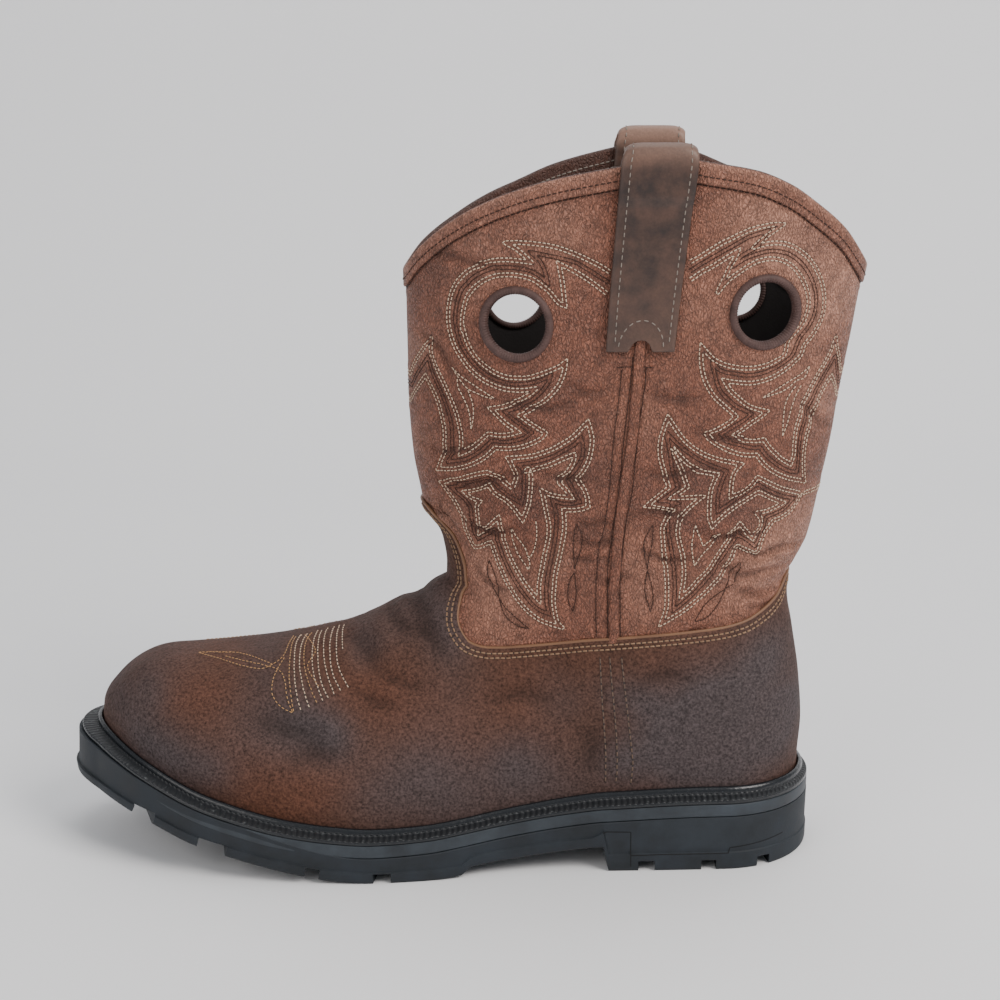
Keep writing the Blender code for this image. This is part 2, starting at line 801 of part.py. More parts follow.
def hole_frames():
    """Each pull hole: its name, its centre on the leather and the surface's own directions there."""
    frames = []
    for name, (share, height) in PULL_HOLES.items():
        side = LATERAL if name.endswith("lateral") else MEDIAL
        z = height * SHAFT_TOP
        small = 1e-4
        centre = shaft_point(np.array(share), np.array(z), side)
        across = shaft_point(np.array(share + small), np.array(z), side) - centre
        up = shaft_point(np.array(share), np.array(z + small), side) - centre
        out = np.cross(across, up) * -side
        frames.append((name, side, Vector(centre), Vector(out).normalized()))
    return frames


def make_hole_cutter():
    shape = bmesh.new()
    for _, _, centre, out in hole_frames():
        turn = out.to_track_quat("Z", "Y").to_matrix().to_4x4()
        bmesh.ops.create_cone(
            shape,
            cap_ends=True,
            segments=20,
            radius1=HOLE_RADIUS,
            radius2=HOLE_RADIUS,
            depth=WALL * 8,
            matrix=Matrix.Translation(centre) @ turn,
        )
    return place("hole_cutter", shape, None)


def make_upper():
    points = offset(upper_grid(26, 20), OVERLAY)
    made = place("upper", grid_shape(points, close_columns=True), "foot_leather")
    face_outwards(made)
    thicken(made, WALL + OVERLAY, -1)
    cut(made, make_skin_cutter("front_skin_cutter", True, 28), "front_shaft_step")
    cut(made, make_skin_cutter("rear_skin_cutter", False, 18), "rear_shaft_step")
    cut(made, make_hole_cutter(), "pull_holes")
    return made


def collar_frame(share, side, drop):
    """Point on the shaft a little below the collar."""
    z = collar_height(share, side) - drop
    return shaft_point(share, z, side)


def closed_shares(columns):
    """Shares and sides all the way round the collar."""
    turns = even_turns(columns)
    share = np.concatenate([turns, turns[-2:0:-1]])
    side = np.concatenate([np.full(columns + 1, LATERAL), np.full(columns - 1, MEDIAL)])
    return share, side


def make_collar_binding():
    """Leather folded over the rim: down the outside, over the top and down the inside."""
    share, side = closed_shares(22)
    gap = CURVED_CLEARANCE
    thick = BINDING_THICKNESS
    low, high = -BINDING_DEPTH, gap + thick
    outside, inside = gap, -(WALL + gap)
    middle = (outside + inside) / 2
    profile = [
        (outside, low),
        (outside, 0.0),
        (outside - thick * 0.2, gap),
        (inside + thick * 0.2, gap),
        (inside, 0.0),
        (inside, low),
        (inside - thick, low),
        (inside - thick, high * 0.3),
        (middle, high + thick * 0.4),
        (outside + thick, high * 0.3),
        (outside + thick, low),
    ]
    rims = []
    for lift, height in profile:
        ring = np.stack([collar_frame(share, side, -height + BINDING_DEPTH * k) for k in (1.0, 0.0, -1.0)])
        rims.append(offset(ring, lift)[1])
    shape = grid_shape(np.stack(rims), close_rows=True, close_columns=True)
    return place("collar_binding", shape, "binding_leather")


def make_strap(side_name, side):
    """A strap sewn flat to the outside, folded over the collar and down the inside."""
    peak = float(collar_height(seam_share(SHAFT_TOP, side), side))
    rest = CURVED_CLEARANCE + STRAP_THICKNESS / 2
    over = rest + BINDING_THICKNESS + CLEARANCE
    top = peak + CURVED_CLEARANCE + BINDING_THICKNESS * 1.6 + STRAP_STAND + STRAP_THICKNESS / 2
    inner = -(WALL + over)
    inner_rest = -(WALL + rest)
    low = peak - STRAP_REACH
    path = [
        (low, rest),
        (low + STRAP_REACH * 0.16, rest),
        (low + STRAP_REACH * 0.34, rest),
        (low + STRAP_REACH * 0.52, rest),
        (low + STRAP_REACH * 0.70, rest + 0.0002),
        (peak - BINDING_DEPTH * 2.4, rest + 0.0003),
        (peak - BINDING_DEPTH * 1.8, over + 0.0004),
        (peak - BINDING_DEPTH * 0.3, over + 0.0004),
        (peak + BINDING_THICKNESS * 1.2, over + 0.0001),
        (top - 0.0011, over * 0.55 - WALL * 0.25),
        (top, (over + inner) / 2),
        (top - 0.0011, inner * 0.72),
        (peak + BINDING_THICKNESS * 1.2, inner - 0.0001),
        (peak - BINDING_DEPTH * 0.3, inner - 0.0004),
        (peak - BINDING_DEPTH * 1.8, inner - 0.0004),
        (peak - BINDING_DEPTH * 2.4, inner_rest - 0.0003),
        (peak - STRAP_REACH * 0.36, inner_rest - 0.0002),
        (peak - STRAP_REACH * 0.52, inner_rest),
    ]
    across = np.linspace(-1, 1, 7)
    rows = []
    for index, (z, lift) in enumerate(path):
        down = max(0.0, (peak - z) / STRAP_REACH)
        half = (STRAP_WIDTH + (STRAP_FOOT_WIDTH - STRAP_WIDTH) * down) / 2
        height = np.full(across.shape, z)
        if index == 0:
            height = height + STRAP_NOTCH * np.sqrt(np.clip(1 - (across / 0.45) ** 2, 0, 1))
        share = seam_share(np.minimum(height, peak), side)
        share = share + across * half / (back_line(height) - shaft_front(height))
        near = np.stack([shaft_point(share, height + step, side) for step in (-0.002, 0.0, 0.002)])
        facing = normals(near, False)[1]
        if facing[len(across) // 2, 1] * side < 0:
            facing = -facing
        rows.append(near[1] + facing * lift)
    made = place("pull_strap_" + side_name, grid_shape(np.stack(rows)), "strap_leather", 60)
    thicken(made, STRAP_THICKNESS, 0)
    return made


def make_hole_ring(name, side, centre, out):
    """The bound edge of a pull hole: a rounded ring that follows the leather."""
    turns = np.linspace(0, 2 * math.pi, 18, endpoint=False)
    start = HOLE_RADIUS - RING_WIDTH * 0.12
    profile = [
        (start + RING_WIDTH, 0.0),
        (start + RING_WIDTH * 0.75, RING_LIFT),
        (start + RING_WIDTH * 0.25, RING_LIFT),
        (start - RING_WIDTH * 0.12, 0.0),
        (start - RING_WIDTH * 0.12, -WALL),
        (start, -WALL),
        (start, 0.0),
    ]
    gap = CURVED_CLEARANCE
    across = Vector((1, 0, 0)) - out * out.x
    across.normalize()
    upward = out.cross(across)
    loops = []
    for radius, lift in profile:
        line = []
        for turn in turns:
            spot = centre + across * radius * math.cos(turn) + upward * radius * math.sin(turn)
            y = float(surface_y(np.array(spot.x), np.array(spot.z), side))
            line.append((spot.x, y, spot.z))
        line = np.array(line) + np.array(out) * (lift + gap)
        loops.append(line)
    shape = grid_shape(np.stack(loops), close_rows=True, close_columns=True)
    return place("pull_hole_ring_" + name, shape, "ring_thread")


def clear_scene():
    for old in list(bpy.data.objects):
        bpy.data.objects.remove(old, do_unlink=True)


def settle(made):
    """Puts the boot's box centre over the origin and its lowest point on the floor."""
    bpy.context.view_layer.update()
    graph = bpy.context.evaluated_depsgraph_get()
    corners = []
    for piece in made:
        seen = piece.evaluated_get(graph)
        corners += [seen.matrix_world @ Vector(corner) for corner in seen.bound_box]
    box = np.array(corners)
    shift = Vector((-(box[:, 0].min() + box[:, 0].max()) / 2, -(box[:, 1].min() + box[:, 1].max()) / 2, 0))
    shift.z = -box[:, 2].min()
    for piece in bpy.context.scene.objects:
        piece.location = shift
    print("shift", [round(value, 6) for value in shift])


def main():
    clear_scene()
    made = [make_outsole(), make_midsole(), make_welt(), make_insole(), make_upper(), make_collar_binding()]
    made += [make_strap("lateral", LATERAL), make_strap("medial", MEDIAL)]
    made += [make_hole_ring(*frame) for frame in hole_frames()]
    settle(made)


main()
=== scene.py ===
"""Pull-on western work boot for the left foot: its leather, stitching, rubber sole, floor and light.

Metres, +Z up, toe towards -X, outer side towards -Y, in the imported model's own frame. The forms below
are the solids' own, so that every piece lies on the surface that it dresses.
"""

import math

import bmesh
import bpy
import numpy as np
from mathutils import Matrix, Vector
from mathutils.bvhtree import BVHTree
from mathutils.kdtree import KDTree


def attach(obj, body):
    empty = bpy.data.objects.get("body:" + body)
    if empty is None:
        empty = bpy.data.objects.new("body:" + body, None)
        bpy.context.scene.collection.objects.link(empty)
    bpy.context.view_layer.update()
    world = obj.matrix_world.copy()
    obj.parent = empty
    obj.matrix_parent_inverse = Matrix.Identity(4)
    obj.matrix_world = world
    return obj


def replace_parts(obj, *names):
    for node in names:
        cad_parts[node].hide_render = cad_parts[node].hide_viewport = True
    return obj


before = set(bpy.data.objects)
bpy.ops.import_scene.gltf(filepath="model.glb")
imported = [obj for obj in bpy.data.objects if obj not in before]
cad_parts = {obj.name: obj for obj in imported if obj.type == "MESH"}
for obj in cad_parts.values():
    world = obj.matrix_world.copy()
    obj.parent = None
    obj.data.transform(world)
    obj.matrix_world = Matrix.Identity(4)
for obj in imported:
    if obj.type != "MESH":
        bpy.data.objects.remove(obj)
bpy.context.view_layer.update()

# From the last's own frame, with its zero at the heel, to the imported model's
SHIFT = np.array([0.146537, 0.001738, 0.0])

# Driving sizes of the last and the shaft
LAST_LENGTH = 0.3018
BALL_WIDTH = 0.094
THROAT_HEIGHT = 0.1172
SHAFT_TOP = 0.297
SHAFT_WIDTH = 0.087
HEEL_CAP = 0.034
TOE_CAP = 0.096
TOE_RISE_LENGTH = 0.034
TOE_RISE_POWER = 2.4

# Driving sizes of the sole
HEEL_RISE = 0.0235
TOE_SPRING = 0.026
ARCH_HEIGHT = 0.0105
MIDSOLE_THICKNESS = 0.0052
LIP_RISE = 0.0051
FORE_PROJECTION = 0.0090
TOE_PROJECTION = 0.0128
HEEL_PROJECTION = 0.0047
TOE_FLARE = 0.0006
WELT_TOE_SETBACK = 0.0024
LUG_DEPTH = 0.0045
HEEL_LUG_DEPTH = 0.0075
SIDE_STEP = 0.0008
LIP_WIDTH = 0.0022

# Driving sizes of the leather
WALL = 0.0024
OVERLAY = 0.0009
PIPING_WIDTH = 0.0042

# Collar, straps and pull holes
BINDING_DEPTH = 0.0075
BINDING_THICKNESS = 0.0009
STRAP_WIDTH = 0.0300
STRAP_FOOT_WIDTH = 0.0272
STRAP_THICKNESS = 0.0019
STRAP_REACH = 0.0752
STRAP_STAND = 0.0028
STRAP_NOTCH = 0.0048
HOLE_RADIUS = 0.0128
RING_WIDTH = 0.0032
RING_LIFT = 0.0011
PIPING_RADIUS = 0.0007
PIPING_LIFT = 0.0004
FACING_DEPTH = 0.034
LINING_FOOT = 0.075

# How much wider than a pull hole the leather and the lining are cut, under the ring
LEATHER_ROOM = 0.0004
LINING_ROOM = 0.0008

# Gaps that the solids keep between flat and between curved faces
CLEARANCE = 0.0003
CURVED_CLEARANCE = 0.00055

# How the forms run into one another, and the sides in Y
UNION_POWER = 7.0
SIDE_SWELL = 0.05
THROAT_SLOPE = 0.8
HEEL_POWER = 2.0
TOE_POWER = 2.0
LATERAL = -1
MEDIAL = 1
SIDES = (("lateral", LATERAL), ("medial", MEDIAL))


def table(columns, *rows):
    """A table of rows with named columns."""
    return {name: np.array(column, dtype=float) for name, column in zip(columns.split(), zip(*rows))}


# Last, from the heel (station 0) to the toe tip (station 1). centre, half and ridge are shares of
# BALL_WIDTH, top is a share of THROAT_HEIGHT, and arch_power sets how square the cross section is.
LAST = table(
    "station centre half ridge top arch_power",
    (0.000, 0.000, 0.362, 0.000, 1.22, 2.3),
    (0.150, -0.011, 0.362, 0.000, 1.22, 2.3),
    (0.250, -0.030, 0.350, 0.000, 1.20, 2.3),
    (0.340, -0.054, 0.336, 0.000, 1.15, 2.2),
    (0.420, -0.068, 0.355, 0.000, 1.085, 2.1),
    (0.500, -0.077, 0.402, 0.000, 1.000, 2.0),
    (0.542, -0.071, 0.430, 0.006, 0.928, 2.0),
    (0.581, -0.061, 0.455, 0.012, 0.884, 2.0),
    (0.616, -0.049, 0.475, 0.020, 0.832, 2.1),
    (0.679, -0.027, 0.495, 0.030, 0.779, 2.2),
    (0.750, -0.008, 0.503, 0.040, 0.738, 2.4),
    (0.834, 0.012, 0.503, 0.052, 0.708, 2.5),
    (0.920, 0.052, 0.500, 0.074, 0.690, 2.6),
    (1.000, 0.125, 0.500, 0.125, 0.640, 2.6),
)

# Sole heights by the same stations, past both ends. under is a share of TOE_SPRING, arch of
# ARCH_HEIGHT, seat of HEEL_RISE, and rise of LIP_RISE.
SOLE = table(
    "station under arch seat rise",
    (-0.03, 0.000, 0.00, 1.010, 1.20),
    (0.148, 0.000, 0.00, 1.000, 1.14),
    (0.276, 0.000, 0.00, 0.935, 1.08),
    (0.284, 0.000, 1.00, 0.930, 1.08),
    (0.343, 0.000, 0.86, 0.840, 1.04),
    (0.400, 0.000, 0.67, 0.740, 1.00),
    (0.468, 0.000, 0.42, 0.610, 0.96),
    (0.480, 0.000, 0.12, 0.590, 0.95),
    (0.530, 0.000, 0.00, 0.510, 0.95),
    (0.605, 0.000, 0.00, 0.475, 0.96),
    (0.658, 0.046, 0.00, 0.520, 0.98),
    (0.731, 0.200, 0.00, 0.645, 1.00),
    (0.800, 0.373, 0.00, 0.835, 1.02),
    (0.852, 0.508, 0.00, 1.010, 1.05),
    (0.923, 0.762, 0.00, 1.330, 1.15),
    (1.000, 0.960, 0.00, 1.640, 1.45),
    (1.045, 1.040, 0.00, 1.760, 1.50),
)

# How far the welt stands out past the upper, in shares of FORE_PROJECTION.
PROJECTION = table(
    "station side",
    (0.00, 0.80), (0.27, 1.00), (0.40, 0.95), (0.62, 1.00), (0.85, 1.08), (1.00, 1.20),
)

# Front of the shaft from throat to collar: height over the throat as a share of the shaft above it,
# reach as a share of LAST_LENGTH from the heel.
SHAFT_FRONT = table(
    "height reach",
    (-0.48, 0.300), (-0.20, 0.440), (0.000, 0.4993), (0.034, 0.4990), (0.082, 0.5030), (0.120, 0.5099),
    (0.147, 0.5219), (0.173, 0.5328), (0.222, 0.5391), (0.300, 0.5477), (0.414, 0.5530), (0.602, 0.5550),
    (0.720, 0.5560), (1.060, 0.5650),
)

# Back of the boot from the sole to the collar: height as a share of SHAFT_TOP, lean as a share of
# LAST_LENGTH past the heel's point.
BACK = table(
    "height lean",
    (0.080, -0.0030), (0.130, -0.0026), (0.185, 0.0006), (0.251, -0.0043), (0.323, -0.0156),
    (0.377, -0.0242), (0.400, -0.0235), (0.425, -0.0110), (0.461, 0.0050), (0.539, 0.0205),
    (0.599, 0.0318), (0.677, 0.0421), (0.741, 0.0530), (0.828, 0.0665), (1.060, 0.1130),
)

# Half-width of the shaft form by height, in shares of SHAFT_WIDTH.
SHAFT_HALF = table(
    "height half power",
    (0.100, 0.200, 2.0), (0.200, 0.300, 2.0), (0.300, 0.390, 2.0), (0.380, 0.430, 2.0),
    (0.440, 0.450, 2.0), (0.560, 0.480, 2.05), (0.700, 0.497, 2.1), (1.000, 0.500, 2.1),
)

# Collar height from the front centre (share 0) to the back centre (share 1), in shares of SHAFT_TOP.
# drop is how much lower the medial side stands.
COLLAR = table(
    "share height drop",
    (0.000, 0.836, 0.000), (0.039, 0.872, 0.006), (0.125, 0.9185, 0.014), (0.224, 0.9505, 0.014),
    (0.323, 0.971, 0.007), (0.447, 0.988, 0.002), (0.530, 1.000, 0.001), (0.620, 0.991, 0.010),
    (0.710, 0.980, 0.022), (0.784, 0.961, 0.025), (0.850, 0.934, 0.022), (0.920, 0.900, 0.016),
    (0.961, 0.872, 0.008), (1.000, 0.843, 0.000),
)

# Edge where vamp and counter end on the shaft, front to back, in shares of THROAT_HEIGHT.
VAMP_EDGE = table(
    "share height",
    (0.000, 1.290), (0.018, 1.272), (0.030, 1.235), (0.036, 1.190), (0.041, 1.150), (0.046, 1.115),
    (0.051, 1.060), (0.055, 1.012), (0.060, 0.974), (0.071, 0.939), (0.082, 0.910), (0.102, 0.876),
    (0.127, 0.847), (0.158, 0.820), (0.192, 0.806), (0.217, 0.802), (0.250, 0.803), (0.300, 0.811),
    (0.350, 0.822), (0.400, 0.834), (0.450, 0.845), (0.500, 0.852), (0.580, 0.861), (0.700, 0.872),
    (0.800, 0.882), (0.863, 0.896), (0.916, 0.924), (0.961, 0.962), (0.976, 0.988), (0.988, 1.014),
    (1.000, 1.030),
)

# Side seams across the shaft: height as a share of SHAFT_TOP, each seam's place as a share front to back.
SIDE_SEAM = table(
    "height lateral medial",
    (0.30, 0.5196, 0.5196), (0.34, 0.5168, 0.5168), (0.38, 0.4895, 0.4900), (0.42, 0.4670, 0.4680),
    (0.46, 0.4634, 0.4644), (0.50, 0.4867, 0.4877), (0.55, 0.4973, 0.4990), (0.60, 0.5071, 0.5100),
    (0.65, 0.5127, 0.5165), (0.70, 0.5129, 0.5180), (0.75, 0.5117, 0.5175), (1.04, 0.5160, 0.5260),
)

# Rings of the upper from its lower margin up: how far along the front line and up the back each one
# starts and ends.
RINGS = table(
    "level front back",
    (0.00, 0.000, 0.000), (0.07, 0.030, 0.035), (0.20, 0.140, 0.130), (0.40, 0.390, 0.270),
    (0.55, 0.570, 0.400), (0.66, 0.680, 0.500), (0.80, 0.800, 0.700), (1.00, 1.000, 1.000),
)

# Pull holes: share front to back, height as a share of SHAFT_TOP.
PULL_HOLES = {
    "front_lateral": (0.243, 0.779),
    "rear_lateral": (0.776, 0.795),
    "front_medial": (0.243, 0.779),
    "rear_medial": (0.748, 0.789),
}

# Lugs cut in the outsole's edge: station, width in lug depths, and turn in degrees
FORE_NOTCHES = (
    (0.935, 1.6, 20.0), (0.830, 2.6, 10.0), (0.688, 1.3, 0.0), (0.588, 1.6, -8.0),
)
HEEL_NOTCHES = (
    (0.222, 1.5, -6.0), (0.136, 1.4, 0.0), (0.060, 1.3, 10.0),
)
CENTRE_BARS = ((0.845, 0.9), (0.765, 0.9), (0.690, 0.9), (0.620, 0.9), (0.550, 0.9))


def read(rows, key, column, at):
    """Reads a table's column at the given keys, smoothly and without overshoot between its rows."""
    known, values = rows[key], rows[column]
    at = np.clip(np.asarray(at, dtype=float), known[0], known[-1])
    step = np.diff(known)
    rate = np.diff(values) / step
    slope = np.empty_like(values)
    slope[0], slope[-1] = rate[0], rate[-1]
    product = rate[:-1] * rate[1:]
    total = rate[:-1] + rate[1:]
    slope[1:-1] = np.where(product > 0, 2 * product / np.where(total == 0, 1, total), 0)
    row = np.clip(np.searchsorted(known, at, side="right") - 1, 0, len(known) - 2)
    t = (at - known[row]) / step[row]
    start, end = values[row], values[row + 1]
    bend_in, bend_out = slope[row] * step[row], slope[row + 1] * step[row]
    return (
        start * (1 + 2 * t) * (1 - t) ** 2
        + bend_in * t * (1 - t) ** 2
        + end * t * t * (3 - 2 * t)
        - bend_out * t * t * (1 - t)
    )


def rounded(distance, reach, power):
    """Share of full width that a rounded end has at a distance from its tip."""
    away = 1 - np.clip(distance / reach, 0, 1)
    return (1 - away**power) ** (1 / power)


def station(x):
    return -x / LAST_LENGTH


def sole_seat(x):
    """Top of the outsole."""
    return read(SOLE, "station", "seat", station(x)) * HEEL_RISE


def sole_under(x):
    """Lowest line of the outsole: ground, arch and toe spring."""
    s = station(x)
    return read(SOLE, "station", "under", s) * TOE_SPRING + read(SOLE, "station", "arch", s) * ARCH_HEIGHT


def midsole_top(x):
    return sole_seat(x) + CLEARANCE + MIDSOLE_THICKNESS


def lip_top(x):
    """Height of the welt's bead, where the upper comes out of the sole."""
    return midsole_top(x) + read(SOLE, "station", "rise", station(x)) * LIP_RISE


def margin(x):
    """Lower edge of the upper, hidden behind the welt."""
    return midsole_top(x) + CLEARANCE


def back_line(z):
    """X of the boot's back at a height."""
    return read(BACK, "height", "lean", z / SHAFT_TOP) * LAST_LENGTH


def shaft_front(z):
    """X of the shaft's front at a height."""
    share = (z - THROAT_HEIGHT) / (SHAFT_TOP - THROAT_HEIGHT)
    return -read(SHAFT_FRONT, "height", "reach", share) * LAST_LENGTH


def ridge_top(x):
    """Height of the vamp's ridge, from the toe up to the throat and on into the shaft."""
    full = read(LAST, "station", "top", station(x)) * THROAT_HEIGHT
    low = lip_top(x)
    return low + (full - low) * rounded(x + LAST_LENGTH, TOE_RISE_LENGTH, TOE_RISE_POWER)


def ridge_centre(x):
    return read(LAST, "station", "ridge", station(x)) * BALL_WIDTH


def last_centre(x):
    return read(LAST, "station", "centre", station(x)) * BALL_WIDTH


def last_half(x):
    return read(LAST, "station", "half", station(x)) * BALL_WIDTH


def foot_reach(x, z, side):
    """Half-width of the foot form on one side of its ridge line."""
    heel_end = rounded(back_line(z) - x, HEEL_CAP, HEEL_POWER)
    toe_end = rounded(x + LAST_LENGTH, TOE_CAP, TOE_POWER)
    ends = heel_end * toe_end
    low = lip_top(x)
    share = np.clip((z - low) / np.maximum(ridge_top(x) - low, 1e-6), 0, 1)
    power = read(LAST, "station", "arch_power", station(x))
    arch = (1 - share**power) ** (1 / power)
    swell = 1 + SIDE_SWELL * np.sin(math.pi * np.clip(share * 1.6, 0, 1))
    skew = (last_centre(x) - ridge_centre(x)) * side
    return np.maximum(last_half(x) * ends + skew * np.minimum(ends * 1.6, 1), 0) * arch * swell


def shaft_reach(x, z):
    """Half-width of the shaft form."""
    front, back = shaft_front(z), back_line(z)
    share = np.clip((x - front) / (back - front), 0, 1)
    power = read(SHAFT_HALF, "height", "power", z / SHAFT_TOP)
    oval = (1 - np.abs(2 * share - 1) ** power) ** (1 / power)
    return read(SHAFT_HALF, "height", "half", z / SHAFT_TOP) * SHAFT_WIDTH * oval


def half_width(x, z, side):
    """Half-width of the whole leather form, foot and shaft run together."""
    return (foot_reach(x, z, side) ** UNION_POWER + shaft_reach(x, z) ** UNION_POWER) ** (1 / UNION_POWER)


def surface_y(x, z, side):
    """Y of the leather's outer face over a point of the boot's side view."""
    return ridge_centre(x) + side * half_width(x, z, side)


def collar_height(share, side):
    """Height of the collar's rim on one side."""
    drop = np.where(np.asarray(side) > 0, read(COLLAR, "share", "drop", share), 0.0)
    return (read(COLLAR, "share", "height", share) - drop) * SHAFT_TOP


def seam_start(z):
    """Front end of the lines that cross the shaft; below the throat they reach on over the vamp."""
    on_vamp = shaft_front(THROAT_HEIGHT) - (THROAT_HEIGHT - z) * THROAT_SLOPE
    return np.where(z < THROAT_HEIGHT, on_vamp, shaft_front(z))


def shaft_point(share, z, side):
    """A point of the shaft by its share front to back and its height."""
    start = seam_start(z)
    x = start + share * (back_line(z) - start)
    return np.stack([x, surface_y(x, z, side), z], axis=-1)


def seam_share(z, side):
    """Place of a side seam front to back at a height."""
    height = z / SHAFT_TOP
    lateral = read(SIDE_SEAM, "height", "lateral", height)
    return np.where(np.asarray(side) > 0, read(SIDE_SEAM, "height", "medial", height), lateral)


def even_turns(count):
    """Shares from 0 to 1, closer together near both ends, as an arc's points are."""
    return (1 - np.cos(np.linspace(0, math.pi, count + 1))) / 2


def front_line(shares):
    """Points on the upper's front line, from the toe's lower margin over the vamp to the collar."""
    toe_angle = np.linspace(0, math.pi / 2, 24)
    toe_x = -LAST_LENGTH + TOE_RISE_LENGTH * (1 - np.cos(toe_angle))
    vamp_x = np.linspace(toe_x[-1], shaft_front(THROAT_HEIGHT), 60)[1:]
    shaft_z = np.linspace(THROAT_HEIGHT, COLLAR["height"][0] * SHAFT_TOP, 60)[1:]
    x = np.concatenate([[toe_x[0]], toe_x, vamp_x, shaft_front(shaft_z)])
    z = np.concatenate([[margin(toe_x[0])], ridge_top(toe_x), ridge_top(vamp_x), shaft_z])
    run = np.concatenate([[0], np.cumsum(np.hypot(np.diff(x), np.diff(z)))])
    run /= run[-1]
    return np.interp(shares, run, x), np.interp(shares, run, z)


# Camera fitted to the photograph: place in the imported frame, tilt in degrees and pixels per unit of slope
CAMERA_PLACE = (0.01764, -0.898262, 0.379)
CAMERA_TILT = 75.71
CAMERA_LENS = 78.98
PIXELS_PER_SLOPE = 2194.0
IMAGE_SIZE = 1000

# Fineness of the leather's sheets
SHAFT_ROWS = 210
SHAFT_COLUMNS = 250
FOOT_ROWS = 150
VAMP_COLUMNS = 230
COUNTER_COLUMNS = 120
COUNTER_START = 0.724

# Points by which an edge is spread evenly, and steps in which a line's meeting with the vamp's edge and a
# line of the foot are worked out
EDGE_STEPS = 1500
LEVEL_STEPS = 400
LINE_STEPS = 260

# How far the shaft runs on under the vamp's edge
SHAFT_TUCK = 0.007


def edge_of_vamp(share):
    return read(VAMP_EDGE, "share", "height", share) * THROAT_HEIGHT


def turn_of(share):
    """Angle round the shaft, from 0 at the front to 1 at the back, of a share front to back."""
    return np.arccos(1 - 2 * np.clip(share, 0, 1)) / math.pi


def share_of(turn):
    """The reverse of turn_of."""
    return (1 - np.cos(turn * math.pi)) / 2


def piping_top():
    """Height where the side seam's piping ends, in the notch of the pull strap."""
    return SHAFT_TOP - STRAP_REACH + STRAP_NOTCH * 0.6


def unit(ways):
    """Vectors brought to length one."""
    return ways / np.maximum(np.linalg.norm(ways, axis=-1, keepdims=True), 1e-12)


def run_along(line):
    """How far along a line each of its points lies."""
    return np.concatenate([[0], np.cumsum(np.linalg.norm(np.diff(line, axis=0), axis=1))])


def normals(points):
    """Unit normals of a grid of points, from its neighbours."""
    return unit(np.cross(np.gradient(points, axis=1), np.gradient(points, axis=0)))


def wrapped_normals(points):
    """Unit normals of a grid whose rows close on themselves."""
    wide = np.concatenate([points[:, -2:], points, points[:, :2]], axis=1)
    return normals(wide)[:, 2:-2]


def facing_out(out, points):
    """Turns normals away from the boot's middle line."""
    away = np.sum(out[..., 1] * (points[..., 1] - ridge_centre(points[..., 0])))
    return out if away > 0 else -out


def even_rows(lines, count):
    """Spreads each column's points evenly along it."""
    run = np.linalg.norm(np.diff(lines, axis=0), axis=-1)
    run = np.concatenate([np.zeros((1, lines.shape[1])), np.cumsum(run, axis=0)])
    run /= run[-1:]
    wanted = np.linspace(0, 1, count + 1)
    made = np.empty((count + 1, lines.shape[1], 3))
    for column in range(lines.shape[1]):
        for axis in range(3):
            made[:, column, axis] = np.interp(wanted, run[:, column], lines[:, column, axis])
    return made


def mesh_of(name, shape):
    """Turns a bmesh into a mesh and frees it."""
    mesh = bpy.data.meshes.new(name)
    shape.to_mesh(mesh)
    shape.free()
    return mesh


def placed(name, data):
    """An object in the scene that shows a mesh, lamp or lens."""
    made = bpy.data.objects.new(name, data)
    bpy.context.scene.collection.objects.link(made)
    return made


def grid_mesh(name, points, finish, wrapped=False, tall=False, marks=None, holes=()):
    """A sheet: a grid whose vertices are laid on rows of points, merged where they meet.

    wrapped closes the rows and tall closes the columns. marks are values kept on its vertices, and
    holes are axes round which its faces are left out.
    """
    marks = marks or {}
    if wrapped:
        points = np.concatenate([points, points[:, :1]], axis=1)
        marks = {key: np.concatenate([value, value[:, :1]], axis=1) for key, value in marks.items()}
    if tall:
        points = np.concatenate([points, points[:1]], axis=0)
        marks = {key: np.concatenate([value, value[:1]], axis=0) for key, value in marks.items()}
    rows, columns = points.shape[:2]
    shape = bmesh.new()
    bmesh.ops.create_grid(shape, x_segments=columns - 1, y_segments=rows - 1, size=1.0)
    mesh = mesh_of(name, shape)
    flat = np.empty(rows * columns * 3)
    mesh.vertices.foreach_get("co", flat)
    flat = flat.reshape(-1, 3)
    order = np.lexsort((flat[:, 0].round(5), flat[:, 1].round(5)))
    laid = np.empty_like(flat)
    laid[order] = points.reshape(-1, 3) + SHIFT
    mesh.vertices.foreach_set("co", laid.ravel())
    for key, value in marks.items():
        kept = np.empty(rows * columns)
        kept[order] = value.ravel()
        mesh.attributes.new(key, "FLOAT", "POINT").data.foreach_set("value", kept)
    shape = bmesh.new()
    shape.from_mesh(mesh)
    bmesh.ops.remove_doubles(shape, verts=shape.verts, dist=1e-6)
    for centre, axis, radius in holes:
        leave_out(shape, centre, axis, radius)
    closed = not any(edge.is_boundary for edge in shape.edges)
    if closed:
        bmesh.ops.recalc_face_normals(shape, faces=shape.faces)
    elif outward_share(shape) < 0:
        bmesh.ops.reverse_faces(shape, faces=shape.faces)
    return settled(name, shape, finish)


def leave_out(shape, centre, axis, radius):
    """Takes out the faces within a radius of an axis."""
    gone = []
    for face in shape.faces:
        away = face.calc_center_median() - centre
        along = away.dot(axis)
        if abs(along) < radius and (away - axis * along).length < radius:
            gone.append(face)
    bmesh.ops.delete(shape, geom=gone, context="FACES")


def outward_share(shape):
    """More than 0 where an open sheet's faces look away from the boot's middle."""
    middle = Vector((0.05, 0.0, 0.0))
    total = 0.0
    for face in shape.faces:
        away = face.calc_center_median() - middle
        away.z = 0
        total += face.calc_area() * (1 if face.normal.dot(away) > 0 else -1)
    return total


